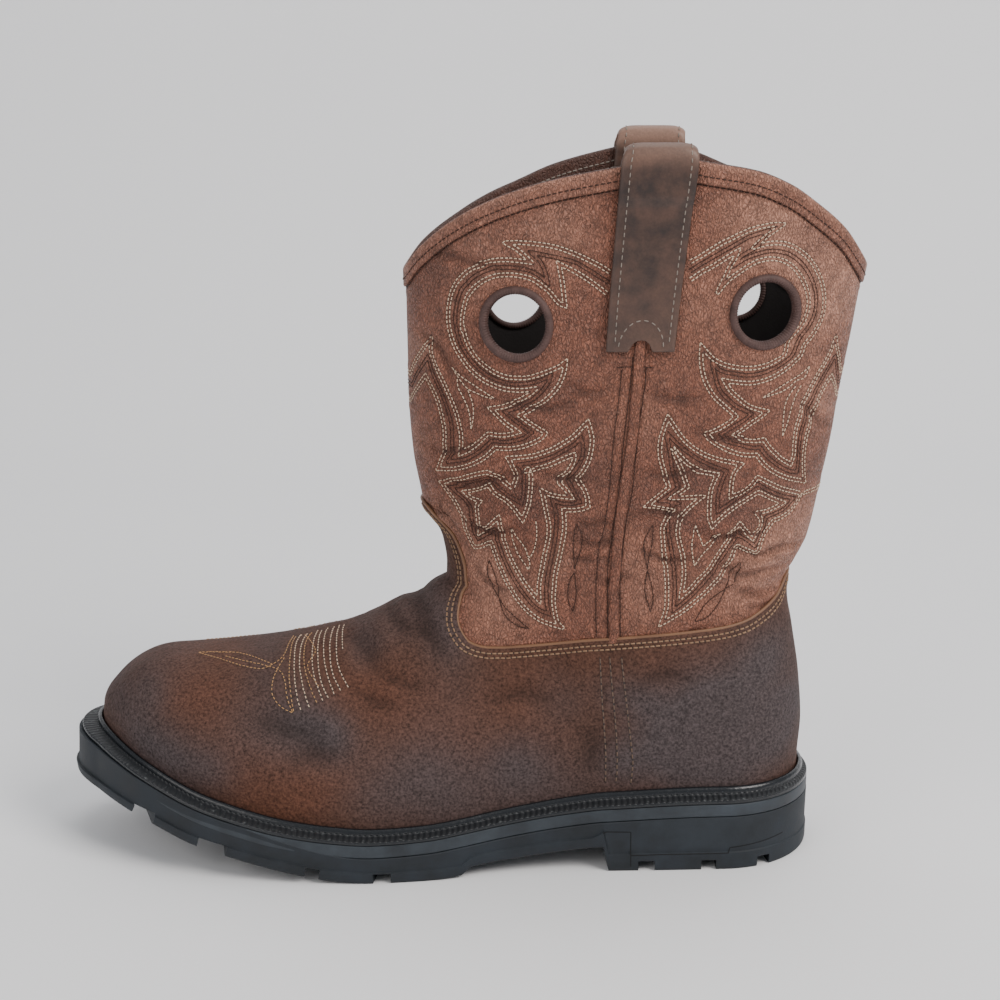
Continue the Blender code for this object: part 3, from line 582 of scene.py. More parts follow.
def settled(name, shape, finish, sharp=None):
    """Turns a bmesh into a named object that rides with the boot."""
    mesh = mesh_of(name, shape)
    mesh.shade_smooth()
    if sharp:
        mesh.set_sharp_from_angle(angle=math.radians(sharp))
    mesh.materials.append(finish)
    made = placed(name, mesh)
    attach(made, "root")
    return made


def tree_of(made):
    """A search tree over a piece's faces, in the last's own frame."""
    shape = bmesh.new()
    shape.from_mesh(made.data)
    bmesh.ops.translate(shape, verts=shape.verts, vec=Vector(-SHIFT))
    tree = BVHTree.FromBMesh(shape)
    shape.free()
    return tree


# The leather's foot: lines that run from its lower margin up to the vamp's edge


def foot_lines(level, t, side):
    """X and Z by level along each line (0 at the margin) and by the line's place from front to back.

    The lines start on the margin, and towards the collar they follow its rim and the shaft's width.
    """
    front_x, front_z = front_line(read(RINGS, "level", "front", level))
    high_back = COLLAR["height"][-1] * SHAFT_TOP
    back_z = margin(0.0) + read(RINGS, "level", "back", level) * (high_back - margin(0.0))
    x = front_x * (1 - t) + back_line(back_z) * t
    z = front_z * (1 - t) + back_z * t
    toe_x, toe_z = front_line(np.array([0.0]))
    low_x = toe_x[0] * (1 - t) + back_line(margin(0.0)) * t
    low_z = toe_z[0] * (1 - t) + margin(0.0) * t
    low_part = np.clip(1 - level / 0.62, 0, 1) ** 1.5
    high_part = np.clip((level - 0.45) / 0.55, 0, 1) ** 1.5
    top_z = COLLAR["height"][0] * SHAFT_TOP * (1 - t) + high_back * t
    bent = z + (margin(low_x) - low_z) * low_part + (collar_height(t, side) - top_z) * high_part
    across = shaft_front(bent) + t * (back_line(bent) - shaft_front(bent))
    along = x + (across - x) * high_part
    return along, bent


def seam_levels(t, side):
    """How high each of the foot's lines meets the vamp's edge."""
    level = np.linspace(0, 1, LEVEL_STEPS)[:, None]
    x, z = foot_lines(level, t[None, :], side)
    share = (x - seam_start(z)) / (back_line(z) - seam_start(z))
    over = z - edge_of_vamp(share)
    first = np.argmax(over > 0, axis=0)
    columns = np.arange(len(t))
    low, high = over[first - 1, columns], over[first, columns]
    return (first - low / (high - low) - 1) / (LEVEL_STEPS - 1)


def foot_side(side, count, start, stop):
    """One side of the foot between two places, its lines spread evenly along both of its edges."""
    fine = np.linspace(start, stop, EDGE_STEPS)
    level = seam_levels(fine, side)
    top = np.stack(foot_lines(level, fine, side), axis=-1)
    low = np.stack(foot_lines(np.zeros_like(fine), fine, side), axis=-1)
    steps = [np.linalg.norm(np.diff(edge, axis=0), axis=-1) for edge in (top, low)]
    run = np.concatenate([[0], np.cumsum(steps[0] * 1.2 + steps[1])])
    t = np.interp(np.linspace(0, run[-1], count + 1), run, fine)
    level = seam_levels(t, side)
    rows = np.linspace(0, 1, LINE_STEPS)[:, None]
    x, z = foot_lines(rows * level[None, :], t[None, :], side)
    lines = np.stack([x, surface_y(x, z, side), z], axis=-1)
    made = even_rows(lines, FOOT_ROWS)
    made[..., 1] = surface_y(made[..., 0], made[..., 2], side)
    return made


def foot_leather():
    """The whole foot as one closed grid of points, front centre to back and round again."""
    sides = []
    for side in (LATERAL, MEDIAL):
        vamp = foot_side(side, VAMP_COLUMNS, 0.0, COUNTER_START)
        counter = foot_side(side, COUNTER_COLUMNS, COUNTER_START, 1.0)
        sides.append(np.concatenate([vamp, counter[:, 1:]], axis=1))
    return np.concatenate([sides[0], sides[1][:, -2:0:-1]], axis=1)


def vamp_edge_line(side, count=400):
    """Points along the vamp's edge on one side, front to back, evenly spaced."""
    fine = np.linspace(0, 1, EDGE_STEPS)
    x, z = foot_lines(seam_levels(fine, side), fine, side)
    line = np.stack([x, surface_y(x, z, side), z], axis=-1)
    return even_rows(line[:, None], count)[:, 0]


def shaft_half(front):
    """The front or rear half of the shaft's skin between the side seams, with a column to spare."""
    spare = 2 / SHAFT_COLUMNS
    way = np.linspace(-1 - spare, 1 + spare, SHAFT_COLUMNS + 3)
    side = np.where(way < 0, MEDIAL, LATERAL) if front else np.where(way > 0, MEDIAL, LATERAL)
    share = np.abs(way) ** 2 / 2 if front else 1 - np.abs(way) ** 2 / 2
    low = edge_of_vamp(share) - SHAFT_TUCK
    high = collar_height(share, side)
    z = low + (high - low) * np.linspace(0, 1, SHAFT_ROWS + 1)[:, None]
    for _ in range(3):
        seam = turn_of(seam_share(z, side[None, :]))
        turn = way * seam if front else 1 + way * (1 - seam)
        share = share_of(np.where(turn > 1, 2 - turn, np.abs(turn)))
        low = edge_of_vamp(share) - SHAFT_TUCK
        high = collar_height(share, side[None, :])
        z = low + (high - low) * np.linspace(0, 1, SHAFT_ROWS + 1)[:, None]
    return shaft_point(share, z, side[None, :])


# Charts of the stitching, creases, stains and painted shade and highlight, drawn over close-ups of the
# photograph. Each letter is a close-up: its left and top edge in the photograph and how much it is enlarged.
CLOSE_UPS = {
    "J": (380, 100, 3.136),
    "A": (395, 170, 9.503),
    "B": (395, 325, 9.503),
    "C": (540, 325, 9.503),
    "D": (690, 200, 9.503),
    "E": (690, 350, 9.503),
    "F": (400, 480, 9.503),
    "G": (540, 480, 9.503),
    "H": (680, 480, 9.503),
    "K": (400, 460, 3.4087),
    "M": (425, 470, 8.711),
    "N": (660, 470, 8.714),
    "L": (90, 560, 4.3556),
    "P": (0, 0, 1.0),
}

# Rows of the pull-hole flames: one line between two rows. A bar is a sharp corner, a star at the end
# carries the line on to the shaft's front or back.
FLAME_PAIRS = {
    "front_outer pale": "J 722,540 690,520 650,500 600,478 A 1560,742 1450,717 1330,700 1200,690 1040,690"
    " | 1130,735 1215,800 1300,880 | 1165,860 1040,853 930,860 830,890 725,938 630,1015 565,1100 530,1185"
    " 510,1290 505,1400 B 515,30 545,140 580,225 625,300 680,378 745,450 830,518 930,570 1030,605 1140,620"
    " 1250,618 1345,600 | 1290,650 1215,695 1130,738 1030,775 908,792 | 985,870 1060,940 1170,1016 |"
    " 1085,1040 985,1047 885,1030 | 815,1095 735,1160 615,1222 | 632,1100 618,990 585,850 545,740 490,610"
    " 430,480 380,360 342,245 334,130 | 275,218 220,295 175,380 148,460 *",
    "front_inner pale": "J 712,607 665,572 615,540 560,513 | 570,560 575,600 580,645 | A 1555,1262"
    " 1475,1165 1390,1093 1300,1035 1200,1008 1100,995 970,1002 870,1035 785,1087 720,1150 683,1205"
    " 658,1285 643,1365 635,1440 640,1515 B 650,40 672,125 708,210 755,290 815,355 890,415 975,465"
    " 1065,495 1160,503 1260,500 1370,472 1480,430 1568,390 1620,350 | 1605,450 1560,560 1480,665 1390,740"
    " 1300,790 1188,858 | 1265,918 1345,972 1432,1025 | 1385,1080 1305,1122 1200,1158 1075,1175 950,1167 |"
    " 875,1240 785,1298 680,1340 560,1365 410,1365 | 450,1250 472,1130 468,990 443,855 410,735 370,635"
    " 325,550 290,475 | 225,570 175,650 145,715 *",
    "front_middle dark": "J 718,573 650,530 600,505 A 1290,780 | 1400,900 1457,1085 | 1380,1010 1290,960"
    " 1180,935 1050,925 940,930 850,960 755,1012 680,1080 625,1150 595,1240 578,1330 570,1430 B 583,45"
    " 605,130 640,215 690,295 747,366 818,435 900,490 1000,535 1100,560 1200,562 1320,545 1420,510"
    " 1483,475 | 1450,560 1385,640 1310,705 1215,760 1048,825 | 1125,895 1205,955 1301,1021 | 1235,1065"
    " 1145,1098 1030,1112 918,1098 | 845,1168 760,1230 650,1280 510,1295 | 541,1175 545,1060 530,920"
    " 495,795 450,670 400,555 350,440 312,302 | 250,395 200,475 160,570 *",
    "rear_outer pale": "D 0,592 125,518 265,432 415,355 540,297 660,258 780,235 885,232 | 810,285 740,335"
    " 665,395 605,452 | 690,425 800,408 905,415 1005,455 1095,520 1165,600 1222,700 1258,800 1275,900"
    " 1275,1000 1258,1100 1215,1200 1150,1300 1080,1390 E 1055,45 970,130 885,198 795,252 700,292 600,312"
    " 500,312 400,302 325,288 | 385,385 465,460 545,525 630,560 730,582 | 660,645 585,690 500,755 422,808"
    " | 490,850 580,863 655,862 703,850 | 750,920 810,980 870,1035 957,1085 | 985,1000 990,900 1000,800"
    " 1020,700 1050,600 1090,480 1140,370 1200,260 1270,140 1330,30 1385,-120 | 1400,-20 1420,80 1430,200"
    " *",
    "rear_inner pale": "D 0,762 115,685 240,615 355,545 460,478 | 425,560 380,630 340,720 290,820 250,900"
    " | 350,775 465,690 580,612 690,568 800,558 895,580 975,632 1040,705 1085,785 1115,870 1128,960"
    " 1115,1060 1075,1160 1010,1250 930,1330 E 900,40 825,98 740,138 650,163 560,173 460,168 365,150"
    " 285,120 210,75 110,-35 | 105,60 110,150 132,260 178,365 250,465 340,545 440,632 | 370,690 290,735"
    " 210,775 160,802 | 220,866 300,923 390,962 485,990 570,1000 632,993 | 690,1070 770,1140 860,1190"
    " 955,1222 1085,1245 | 1078,1100 1085,950 1110,800 1145,670 1190,540 1240,420 1300,310 1345,240 |"
    " 1375,320 1390,420 *",
    "rear_middle dark": "D 0,677 120,600 255,523 385,450 545,360 650,320 740,292 | 700,360 640,440 560,490"
    " 480,540 400,640 | 520,560 620,520 745,487 850,490 950,518 1035,576 1103,652 1153,742 1186,835"
    " 1201,930 1195,1030 1166,1130 1112,1225 1040,1320 E 975,45 897,115 812,168 722,208 630,232 530,240"
    " 432,226 342,211 267,182 | 210,100 235,230 281,375 357,462 442,535 535,580 585,607 | 515,667 437,712"
    " 355,765 291,805 | 355,858 440,893 522,912 594,930 667,925 | 720,995 790,1060 865,1112 956,1153"
    " 1020,1160 | 1031,1050 1037,925 1055,800 1082,685 1120,570 1165,450 1220,340 1285,225 1337,135 |"
    " 1380,60 1395,150 1410,310 *",
    "front_low_outer pale": "M 765,155 790,60 B 1120,1350 1072,1262 | 1170,1258 1300,1243 C 0,1222"
    " 110,1182 215,1125 320,1055 410,965 455,920 | 488,1040 495,1115 478,1225 450,1315 400,1400 355,1470 |"
    " G 420,90 448,170 458,255 | 400,275 315,287 222,284 | 232,400 228,500 208,610 185,720 163,815 142,915"
    " 135,1010 127,1105 132,1205 165,1350 235,1418 | F 1530,1398 1450,1375 1360,1345 1270,1290 1195,1225"
    " 1125,1145 1068,1060 1015,965 968,865 925,760 890,660 865,585 | 780,625 707,640 | 665,560 620,450"
    " 595,350 520,200 390,20 | M 300,75 420,42 545,15 | 640,60 700,110 765,155",
    "front_low_middle dark": "B 1160,1325 1260,1318 C 0,1290 110,1255 215,1200 320,1140 389,1074 |"
    " 410,1160 400,1260 360,1340 310,1410 265,1475 | G 320,100 379,210 | 300,225 200,222 118,190 | 150,300"
    " 156,400 150,500 135,600 116,700 95,800 75,900 63,1000 60,1100 70,1200 87,1272 | F 1330,1240"
    " 1255,1178 1185,1095 1115,995 1055,890 998,775 960,680 928,570 900,465 | 820,515 740,560 | M 430,540"
    " 415,480 405,400 395,330 350,260 290,205 225,150 | 400,110 550,72 | 640,150 720,220 790,260 840,290 |"
    " 862,200 862,100 850,0 B 1160,1325",
    "front_low_inner pale": "M 925,60 915,200 895,320 850,435 | 770,330 700,260 620,210 548,125 | 450,165"
    " 345,188 | 400,235 480,270 | 450,310 455,380 465,460 475,545 | 540,500 640,410 | F 965,500 1000,600"
    " 1030,690 1075,790 1125,880 1180,970 1240,1050 1290,1110 1325,1150 | 1318,1040 1328,940 1352,820"
    " 1375,700 1400,600 1415,500 1410,400 1385,280 1365,180 G 15,95 | 80,132 150,150 230,160 300,168 |"
    " 250,95 200,45 C 175,1480 235,1420 295,1345 325,1270 322,1228 | 215,1275 110,1320 0,1358 B 1300,1385"
    " 1240,1390 | M 900,-10 925,60",
    "rear_low_outer pale": "N 1220,200 1060,160 950,110 850,60 | 800,130 720,190 E 385,1395 | 390,1320"
    " 400,1230 430,1150 490,1085 | 375,1062 275,1040 175,1005 80,960 0,905 P 681,436 668,417 | 661,438"
    " 660,455 664,471 N 75,150 | -20,230 -118,309 | 0,330 112,352 | 60,420 20,500 25,620 35,740 50,860"
    " 60,980 60,1100 55,1200 30,1290 5,1345 | 100,1290 200,1230 300,1150 380,1080 450,1010 520,930 570,850"
    " 620,760 670,655 | 745,695 840,735 | 880,620 930,520 985,440 | 1060,410 1140,350 1200,270 1230,200 *",
    "rear_low_middle dark": "P 666,432 680,446 695,457 710,465 727,471 | N 560,60 530,130 505,250 505,365"
    " | 640,270 760,190 850,120 | 950,180 1060,225 1165,245 | 1090,330 1010,375 925,410 | 880,560 825,660"
    " | 750,605 680,560 | 620,640 560,730 480,860 400,960 300,1070 200,1160 120,1220 | 130,1040 125,900"
    " 110,760 90,640 70,520 75,400 110,310 160,290 | 60,270 10,270 | 90,210 160,150 | 130,60 105,-20 P"
    " 670,452 666,432",
    "rear_low_inner pale": "P 672,447 684,460 N 320,0 420,25 500,40 | 470,100 440,190 430,300 430,420"
    " 455,495 | 540,410 640,330 760,255 860,190 | 960,240 1075,285 | 1010,320 930,355 840,375 | 880,430"
    " 860,520 805,600 | 745,530 695,465 | 640,530 600,600 540,680 480,780 420,870 330,960 250,1050"
    " 180,1110 | 205,960 208,880 200,760 175,660 155,560 160,480 190,400 240,340 300,290 370,232 | 230,240"
    " 95,245 | 170,200 240,145 | 215,80 200,20 P 678,462 672,447",
}

# Single rows: leaves between the flames
LEAVES = {
    "front_upper pale": "B 530,395 640,497 760,578 870,650 958,705 | 860,682 760,640 690,605 625,530"
    " 535,400",
    "front_middle pale": "B 590,505 600,590 645,680 690,780 712,870 722,990 | 742,890 745,800 728,715"
    " 690,610",
    "front_lower pale": "F 1050,465 1110,540 1165,610 1200,670 1215,735 | 1240,730 1275,660 1295,560"
    " 1300,470 1290,385",
    "front_vee pale": "F 1050,470 1075,580 1110,680 1160,760 1220,855 | 1235,790 1215,735",
    "front_left dark": "F 845,765 830,850 855,960 895,1040 940,1115 | 925,1020 915,940 885,860 845,765",
    "front_left_low dark": "F 940,1115 990,1200 1060,1270 1150,1350 1230,1415 | 1130,1390 1050,1340"
    " 990,1270 960,1190 940,1115",
    "seam_left dark": "G 345,420 325,520 315,640 325,760 325,850 | 370,720 400,600 390,500 345,420",
    "seam_left_low dark": "G 325,880 285,950 265,1050 270,1150 310,1250 | 335,1150 345,1050 335,950"
    " 325,880",
    "seam_right dark": "G 1075,425 1010,530 985,620 1000,740 1020,850 | 1030,780 1050,680 1070,550"
    " 1075,425",
    "seam_right_low dark": "G 1020,860 1000,980 1000,1080 1050,1255 | 1075,1130 1060,1010 1040,920"
    " 1020,860",
    "rear_upper pale": "E 1140,150 1090,200 1020,250 940,300 860,350 780,400 690,455 | 770,430 860,400"
    " 950,350 1010,290 1090,260 1140,150",
    "rear_middle pale": "E 1010,340 960,400 910,500 890,620 880,820 | 930,680 960,560 1010,420 1060,330",
    "rear_low pale": "N 310,480 280,620 280,720 300,840 | 350,760 420,680 530,560 | 440,610 375,665 |"
    " 345,580 310,480",
    "rear_right dark": "N 690,800 620,900 570,1030 | 640,980 690,880 700,800",
    "rear_right_low dark": "N 570,1035 450,1120 380,1190 300,1320 | 400,1290 500,1180 570,1035",
}

# The toe's stitching: a long leaf, the crossing behind it, its loops and the rows over the vamp
TOE_ROWS = {
    "leaf_upper gold": "L 475,410 560,408 650,412 720,430 800,462",
    "leaf_lower gold": "L 475,412 560,435 640,460 720,478 770,474 840,430 870,370 900,320 935,285",
    "leaf_middle gold": "L 590,425 680,448 770,466 830,490 850,530 862,600 885,665",
    "loop gold": "L 850,430 820,480 800,530 798,590 835,640 885,665",
    "row_1 gold": "L 950,290 893,350 875,420 870,520 880,600 890,662",
    "row_2 pale": "L 962,290 905,360 892,450 895,540 905,600 922,655",
    "row_3 pale": "L 985,282 930,360 915,450 925,540 940,600 958,648",
    "row_4 gold": "L 1000,285 950,350 935,410 938,480 960,560 990,630",
    "row_5 gold": "L 940,330 985,400 950,470 1000,560",
    "row_6 pale": "L 1015,280 980,350 970,430 978,510 1000,580 1018,620",
    "row_7 pale": "L 1040,272 1003,340 995,430 1005,520 1030,590 1042,608",
    "row_8 pale": "L 1062,265 1028,330 1022,420 1035,500 1066,592",
    "row_9 pale": "L 1086,260 1055,330 1050,420 1060,500 1095,574",
    "row_10 pale": "L 1108,255 1080,320 1078,400 1090,480 1128,560",
    "row_11 pale": "L 1132,255 1105,300 1100,350 1103,400",
}

# Stitched seams: rows along the side seams of shaft and foot
SEAM_ROWS = {
    "shaft_front dark": "C 780,420 760,600 740,780 710,1000 690,1200 660,1568 G 600,500 560,620 545,800"
    " 535,1000 530,1200 535,1490",
    "shaft_piping_left dark": "C 885,300 868,450 848,650 825,850 800,1050 780,1250 750,1568 G 700,400"
    " 672,600 652,760 642,920 642,1490",
    "shaft_piping_right dark": "C 1010,400 995,600 965,800 940,950 920,1150 900,1350 880,1568 G 820,400"
    " 792,600 778,760 765,900 760,1050 765,1490",
    "bar_tack dark": "C 725,405 820,398 900,400 1000,402 1080,405",
    "foot_left drab": "K 682,670 685,740 690,830 697,920 702,1000 700,1095",
    "foot_middle drab": "K 715,670 720,740 730,850 738,950 740,1030 736,1095",
    "foot_right drab": "K 755,670 765,770 775,860 785,960 792,1030 785,1100",
}

# Soft creases and hollows of the leather: half width and depth in millimetres, then the line
SHAFT_CREASES = (
    (1.6, 0.7, "K 85,140 120,175 150,185 190,230"), (1.8, 0.8, "K 150,70 240,90 330,70 420,40"),
    (1.6, 0.7, "K 200,190 260,230 330,250 400,240"), (1.5, 0.6, "K 590,210 640,225 700,215 760,230"),
    (1.5, 0.6, "K 600,285 660,290 730,280"), (1.4, 0.5, "K 560,330 640,345 700,340"),
    (1.8, 0.8, "K 790,200 850,180 930,190 990,215"), (1.6, 0.7, "K 800,300 860,330 930,345 1000,335"),
    (1.8, 0.8, "K 1000,230 1080,270 1160,250 1240,255"),
    (1.8, 0.9, "K 1150,440 1190,455 1230,458 1280,435"),
    (1.8, 0.9, "K 1140,300 1220,330 1290,300 1370,285"),
    (2.0, 0.9, "K 1080,350 1160,395 1250,380 1335,352"), (1.6, 0.6, "K 1180,500 1240,495 1300,460"),
    (2.2, 0.7, "K 430,20 520,60 600,70 680,60"), (2.2, 0.7, "K 820,40 900,60 980,40 1060,20"),
    (1.6, 0.5, "K 250,360 300,420 380,450"), (1.6, 0.5, "K 640,400 700,420 760,400 830,420"),
    (1.6, 0.5, "K 900,620 980,600 1060,560"), (2.0, 0.6, "P 430,250 470,262 500,268"),
    (2.4, 0.7, "P 560,385 590,395 612,388"), (2.4, 0.7, "P 640,395 680,402 705,396"),
    (2.2, 0.6, "P 420,330 440,350 452,380"), (2.2, 0.6, "P 800,400 818,420 832,430"),
    (2.2, 0.7, "P 690,430 720,440 760,436"), (2.0, 0.6, "P 500,400 540,410 580,404"),
    (2.0, 0.6, "P 418,440 445,452 480,446"),
)
FOOT_CREASES = (
    (7.0, 1.5, "L 700,700 800,720 900,750 1040,790"), (5.0, 1.0, "L 1130,300 1180,360 1220,420 1260,500"),
    (6.0, 0.9, "L 860,880 960,850 1080,860"), (4.0, 0.7, "L 1300,180 1340,260 1400,340"),
    (5.0, 0.9, "L 1420,120 1440,220 1500,320"), (3.0, 0.5, "L 1150,560 1240,620 1340,640"),
    (3.0, 0.5, "L 1250,480 1360,540 1450,560"), (4.0, 0.6, "K 20,560 100,600 160,690"),
    (4.0, 0.6, "K 300,820 420,800 520,830"), (4.0, 0.5, "K 820,760 900,730 1000,740"),
    (6.0, 0.8, "K 640,900 650,1000 640,1080"),
)

# Colour marks, in photo pixels: x, y, reach and strength. Soot darkens and rust burnishes, as wear left them;
# pale is rubbed dye and, strongest high on the shaft's rear, a painted highlight; shade is painted shade.
STAINS_AND_PAINTED_LIGHT = {
    "soot": (
        (118, 690, 26, 0.5), (150, 688, 22, 0.55), (140, 735, 30, 0.7), (175, 760, 34, 0.8),
        (215, 770, 26, 0.5), (250, 727, 40, 0.45), (300, 725, 34, 0.8), (335, 738, 26, 0.7),
        (365, 640, 20, 0.6), (400, 612, 26, 0.45), (270, 640, 26, 0.35), (180, 655, 30, 0.3),
        (420, 770, 50, 0.55), (470, 800, 60, 0.55), (370, 800, 40, 0.4), (520, 760, 36, 0.5),
        (560, 700, 30, 0.35), (450, 690, 40, 0.25), (440, 600, 26, 0.6), (450, 640, 24, 0.5),
        (560, 790, 50, 0.5), (700, 695, 50, 0.45), (745, 700, 50, 0.5), (640, 700, 24, 0.5),
        (670, 740, 44, 0.7), (720, 710, 40, 0.35), (770, 650, 34, 0.75), (790, 700, 26, 0.8),
        (780, 740, 30, 0.7), (690, 780, 60, 0.6), (620, 760, 26, 0.55), (610, 690, 20, 0.3),
        (740, 770, 36, 0.5),
    ),
    "rust": (
        (178, 690, 26, 0.75), (205, 705, 24, 0.4), (240, 770, 44, 0.8), (285, 795, 36, 0.9),
        (300, 760, 30, 0.7), (130, 765, 14, 0.4), (390, 700, 50, 0.5), (430, 720, 44, 0.5),
        (350, 690, 30, 0.4), (520, 700, 44, 0.45), (545, 740, 34, 0.4), (470, 740, 40, 0.4),
        (660, 670, 24, 0.5), (700, 660, 30, 0.35), (230, 690, 30, 0.35), (650, 720, 16, 0.3),
        (580, 670, 26, 0.3), (340, 780, 34, 0.5), (700, 765, 30, 0.35), (650, 790, 26, 0.4),
    ),
    "pale": (
        (500, 280, 60, 0.3), (790, 330, 50, 0.6), (800, 520, 40, 0.7), (770, 560, 40, 0.6),
        (740, 590, 36, 0.5), (480, 560, 26, 0.6), (500, 600, 40, 0.8), (560, 560, 20, 0.3),
        (650, 600, 30, 0.4), (820, 400, 30, 0.7), (840, 300, 30, 0.6), (420, 350, 20, 0.6),
        (420, 440, 20, 0.4), (445, 520, 24, 0.8), (640, 420, 26, 0.3), (700, 300, 40, 0.3),
        (560, 480, 20, 0.3), (640, 560, 30, 0.4), (560, 250, 30, 0.25), (760, 230, 40, 0.3),
        (800, 235, 50, 0.9), (835, 270, 40, 0.8), (560, 215, 34, 0.4), (470, 230, 30, 0.2),
        (740, 205, 34, 0.3),
    ),
    "shade": (
        (700, 480, 20, 0.5), (590, 470, 22, 0.5), (740, 510, 24, 0.5), (600, 430, 20, 0.3),
        (480, 500, 14, 0.5), (530, 500, 20, 0.5), (590, 530, 16, 0.4), (430, 260, 26, 0.35),
        (720, 580, 14, 0.4), (640, 500, 20, 0.4), (820, 230, 26, 0.4), (560, 400, 20, 0.3),
        (680, 520, 16, 0.5), (810, 470, 16, 0.3), (610, 360, 20, 0.3),
    ),
}

# Half the gap between a pair's rows, and how far under the vamp's edge its rows run
PAIR_HALF_GAP = 0.00072
EDGE_ROW_GAPS = (0.0024, 0.0043)

# How stitches press the leather in, how far it puffs up on shaft and foot, and where beside a row it does.
# The charts' creases are deepened by a gain.
GROOVE_WIDTH = 0.0006
GROOVE_DEPTH = 0.00032
SHAFT_PUFF = 0.00018
FOOT_PUFF = 0.0001
PUFF_AWAY = 0.0016
PUFF_WIDTH = 0.0012
CREASE_GAIN = 1.8

# Metres on the boot that one photo pixel covers, and the step between points of a drawn line in pixels
PIXEL_SIZE = 0.00042
LINE_STEP = 1.2

# How dark the painted shade is where stitches and creases press the leather in
PAINTED_GROOVE_SHADE = 0.25
PAINTED_CREASE_SHADE = 0.5

# Half-width at which the leather form is taken to end, and how high a row may climb to get there
THINNEST = 0.0005
CLIMB = 0.006

# How much further forward and lower rows lie on the inner side: round its rear hole, and at the toe's leaf
REAR_FORWARD = 0.0054
REAR_LOWER = 0.0018
LEAF_LOWER = 0.0016

# Widths of the painted shadows in which stitches lie and of the heel's lines, and the pitch of the welt's
# knurls
PALE_SHADOW_RIBBON = 0.00055
DARK_SHADOW_RIBBON = 0.00034
FOOT_SHADOW_RIBBON = 0.0005
HEEL_LINE_WIDTH = 0.0005
KNURL_PITCH = 0.0024

# Painted shadow ribbons: distance between points, shortest row that gets one, and height over the leather.
# Leather is looked for no farther than a distance from a stitch's place.
SHADOW_RIBBON_STEP = 0.0009
SHORTEST_ROW = 0.003
SHADOW_RIBBON_LIFT = 0.00006
FARTHEST = 0.006

# Stitches: distance from one to the next, length, width and height
STITCHES = {
    "flame_pale": (0.00185, 0.00145, 0.00060, 0.0006),
    "flame_brown": (0.0016, 0.00135, 0.00050, 0.0005),
    "toe_pale": (0.00185, 0.0013, 0.00055, 0.0006),
    "toe_gold": (0.00185, 0.0014, 0.00048, 0.0006),
    "edge_tan": (0.0023, 0.0020, 0.00085, 0.0008),
    "foot_drab": (0.0028, 0.0022, 0.00075, 0.0007),
    "collar": (0.0024, 0.0020, 0.0007, 0.0006),
    "strap": (0.0029, 0.0020, 0.0006, 0.0006),
}


def strokes_of(chart):
    """Photo points of a chart, stroke by stroke, and whether its end runs on."""
    strokes = [[]]
    view = None
    words = chart.split()
    for word in words:
        if word in CLOSE_UPS:
            view = CLOSE_UPS[word]
        elif word == "|":
            strokes.append([strokes[-1][-1]])
        elif word != "*":
            x, y = (float(part) for part in word.split(","))
            strokes[-1].append((view[0] + x / view[2], view[1] + y / view[2]))
    return [np.array(stroke) for stroke in strokes if len(stroke) > 1], words[-1] == "*"


def curved(stroke):
    """A smooth line through the points of a stroke."""
    if len(stroke) == 2:
        count = max(2, int(np.linalg.norm(stroke[1] - stroke[0]) / LINE_STEP))
        return stroke[0] + (stroke[1] - stroke[0]) * np.linspace(0, 1, count + 1)[:, None]
    ends = np.concatenate([[2 * stroke[0] - stroke[1]], stroke, [2 * stroke[-1] - stroke[-2]]])
    line = []
    for a, b, c, d in zip(ends[:-3], ends[1:-2], ends[2:-1], ends[3:]):
        count = max(1, int(np.linalg.norm(c - b) / LINE_STEP))
        t = np.linspace(0, 1, count, endpoint=False)[:, None]
        bend = (2 * a - 5 * b + 4 * c - d) * t**2 / 2
        line.append(b + (c - a) * t / 2 + bend + (3 * b - a - 3 * c + d) * t**3 / 2)
    return np.concatenate(line + [stroke[-1:]])


def seen_on_boot(pixels):
    """X and Z where the camera's rays through photo pixels meet the leather, and which pass the ridge."""
    tilt = math.radians(CAMERA_TILT)
    right = (pixels[:, 0] - IMAGE_SIZE / 2) / PIXELS_PER_SLOPE
    up = (IMAGE_SIZE / 2 - pixels[:, 1]) / PIXELS_PER_SLOPE
    ray = np.stack(
        [right, math.sin(tilt) + up * math.cos(tilt), up * math.sin(tilt) - math.cos(tilt)], axis=-1
    )
    start = np.array(CAMERA_PLACE) - SHIFT
    depth = np.arange(-0.075, 0.02, 0.0003)
    reach = (depth[None, :] - start[1]) / ray[:, 1:2]
    x = start[0] + ray[:, :1] * reach
    z = start[2] + ray[:, 2:] * reach
    half = half_width(x, z, LATERAL)
    inside = (depth[None, :] > ridge_centre(x) - half) & (half > THINNEST)
    first = np.argmax(inside, axis=1)
    rows = np.arange(len(pixels))
    found = np.stack([x[rows, first], z[rows, first]], axis=-1)
    found[~inside.any(axis=1)] = np.nan
    return found, depth[first] > ridge_centre(found[:, 0])


def flat_path(chart):
    """A chart as X and Z along the boot's outer side."""
    strokes, runs_on = strokes_of(chart)
    pixels = np.concatenate([curved(stroke) for stroke in strokes])
    step = np.linalg.norm(np.diff(pixels, axis=0), axis=1)
    pixels = pixels[np.concatenate([[True], step > 0.01])]
    flat, past = seen_on_boot(pixels)
    kept = ~np.isnan(flat[:, 0]) & ~past
    flat = flat[kept]
    # A row that comes over the ridge starts at the ridge itself, above its first point that is seen
    if past[: np.argmax(kept)].any():
        x, z = flat[0]
        climb = np.linspace(z, z + CLIMB, 61)
        top = climb[foot_reach(np.full(61, x), climb, LATERAL) > THINNEST][-1]
        turns = np.linspace(0, 1, 9)[:-1]
        flat = np.concatenate([np.stack([np.full(8, x), top - (top - z) * turns**2], axis=-1), flat])
    if runs_on:
        x, z = flat[-1]
        end = shaft_front(z) if x - shaft_front(z) < back_line(z) - x else back_line(z)
        turns = np.linspace(0, math.pi / 2, 9)[1:]
        flat = np.concatenate([flat, np.stack([x + (end - x) * np.sin(turns), np.full(8, z)], axis=-1)])
    return flat


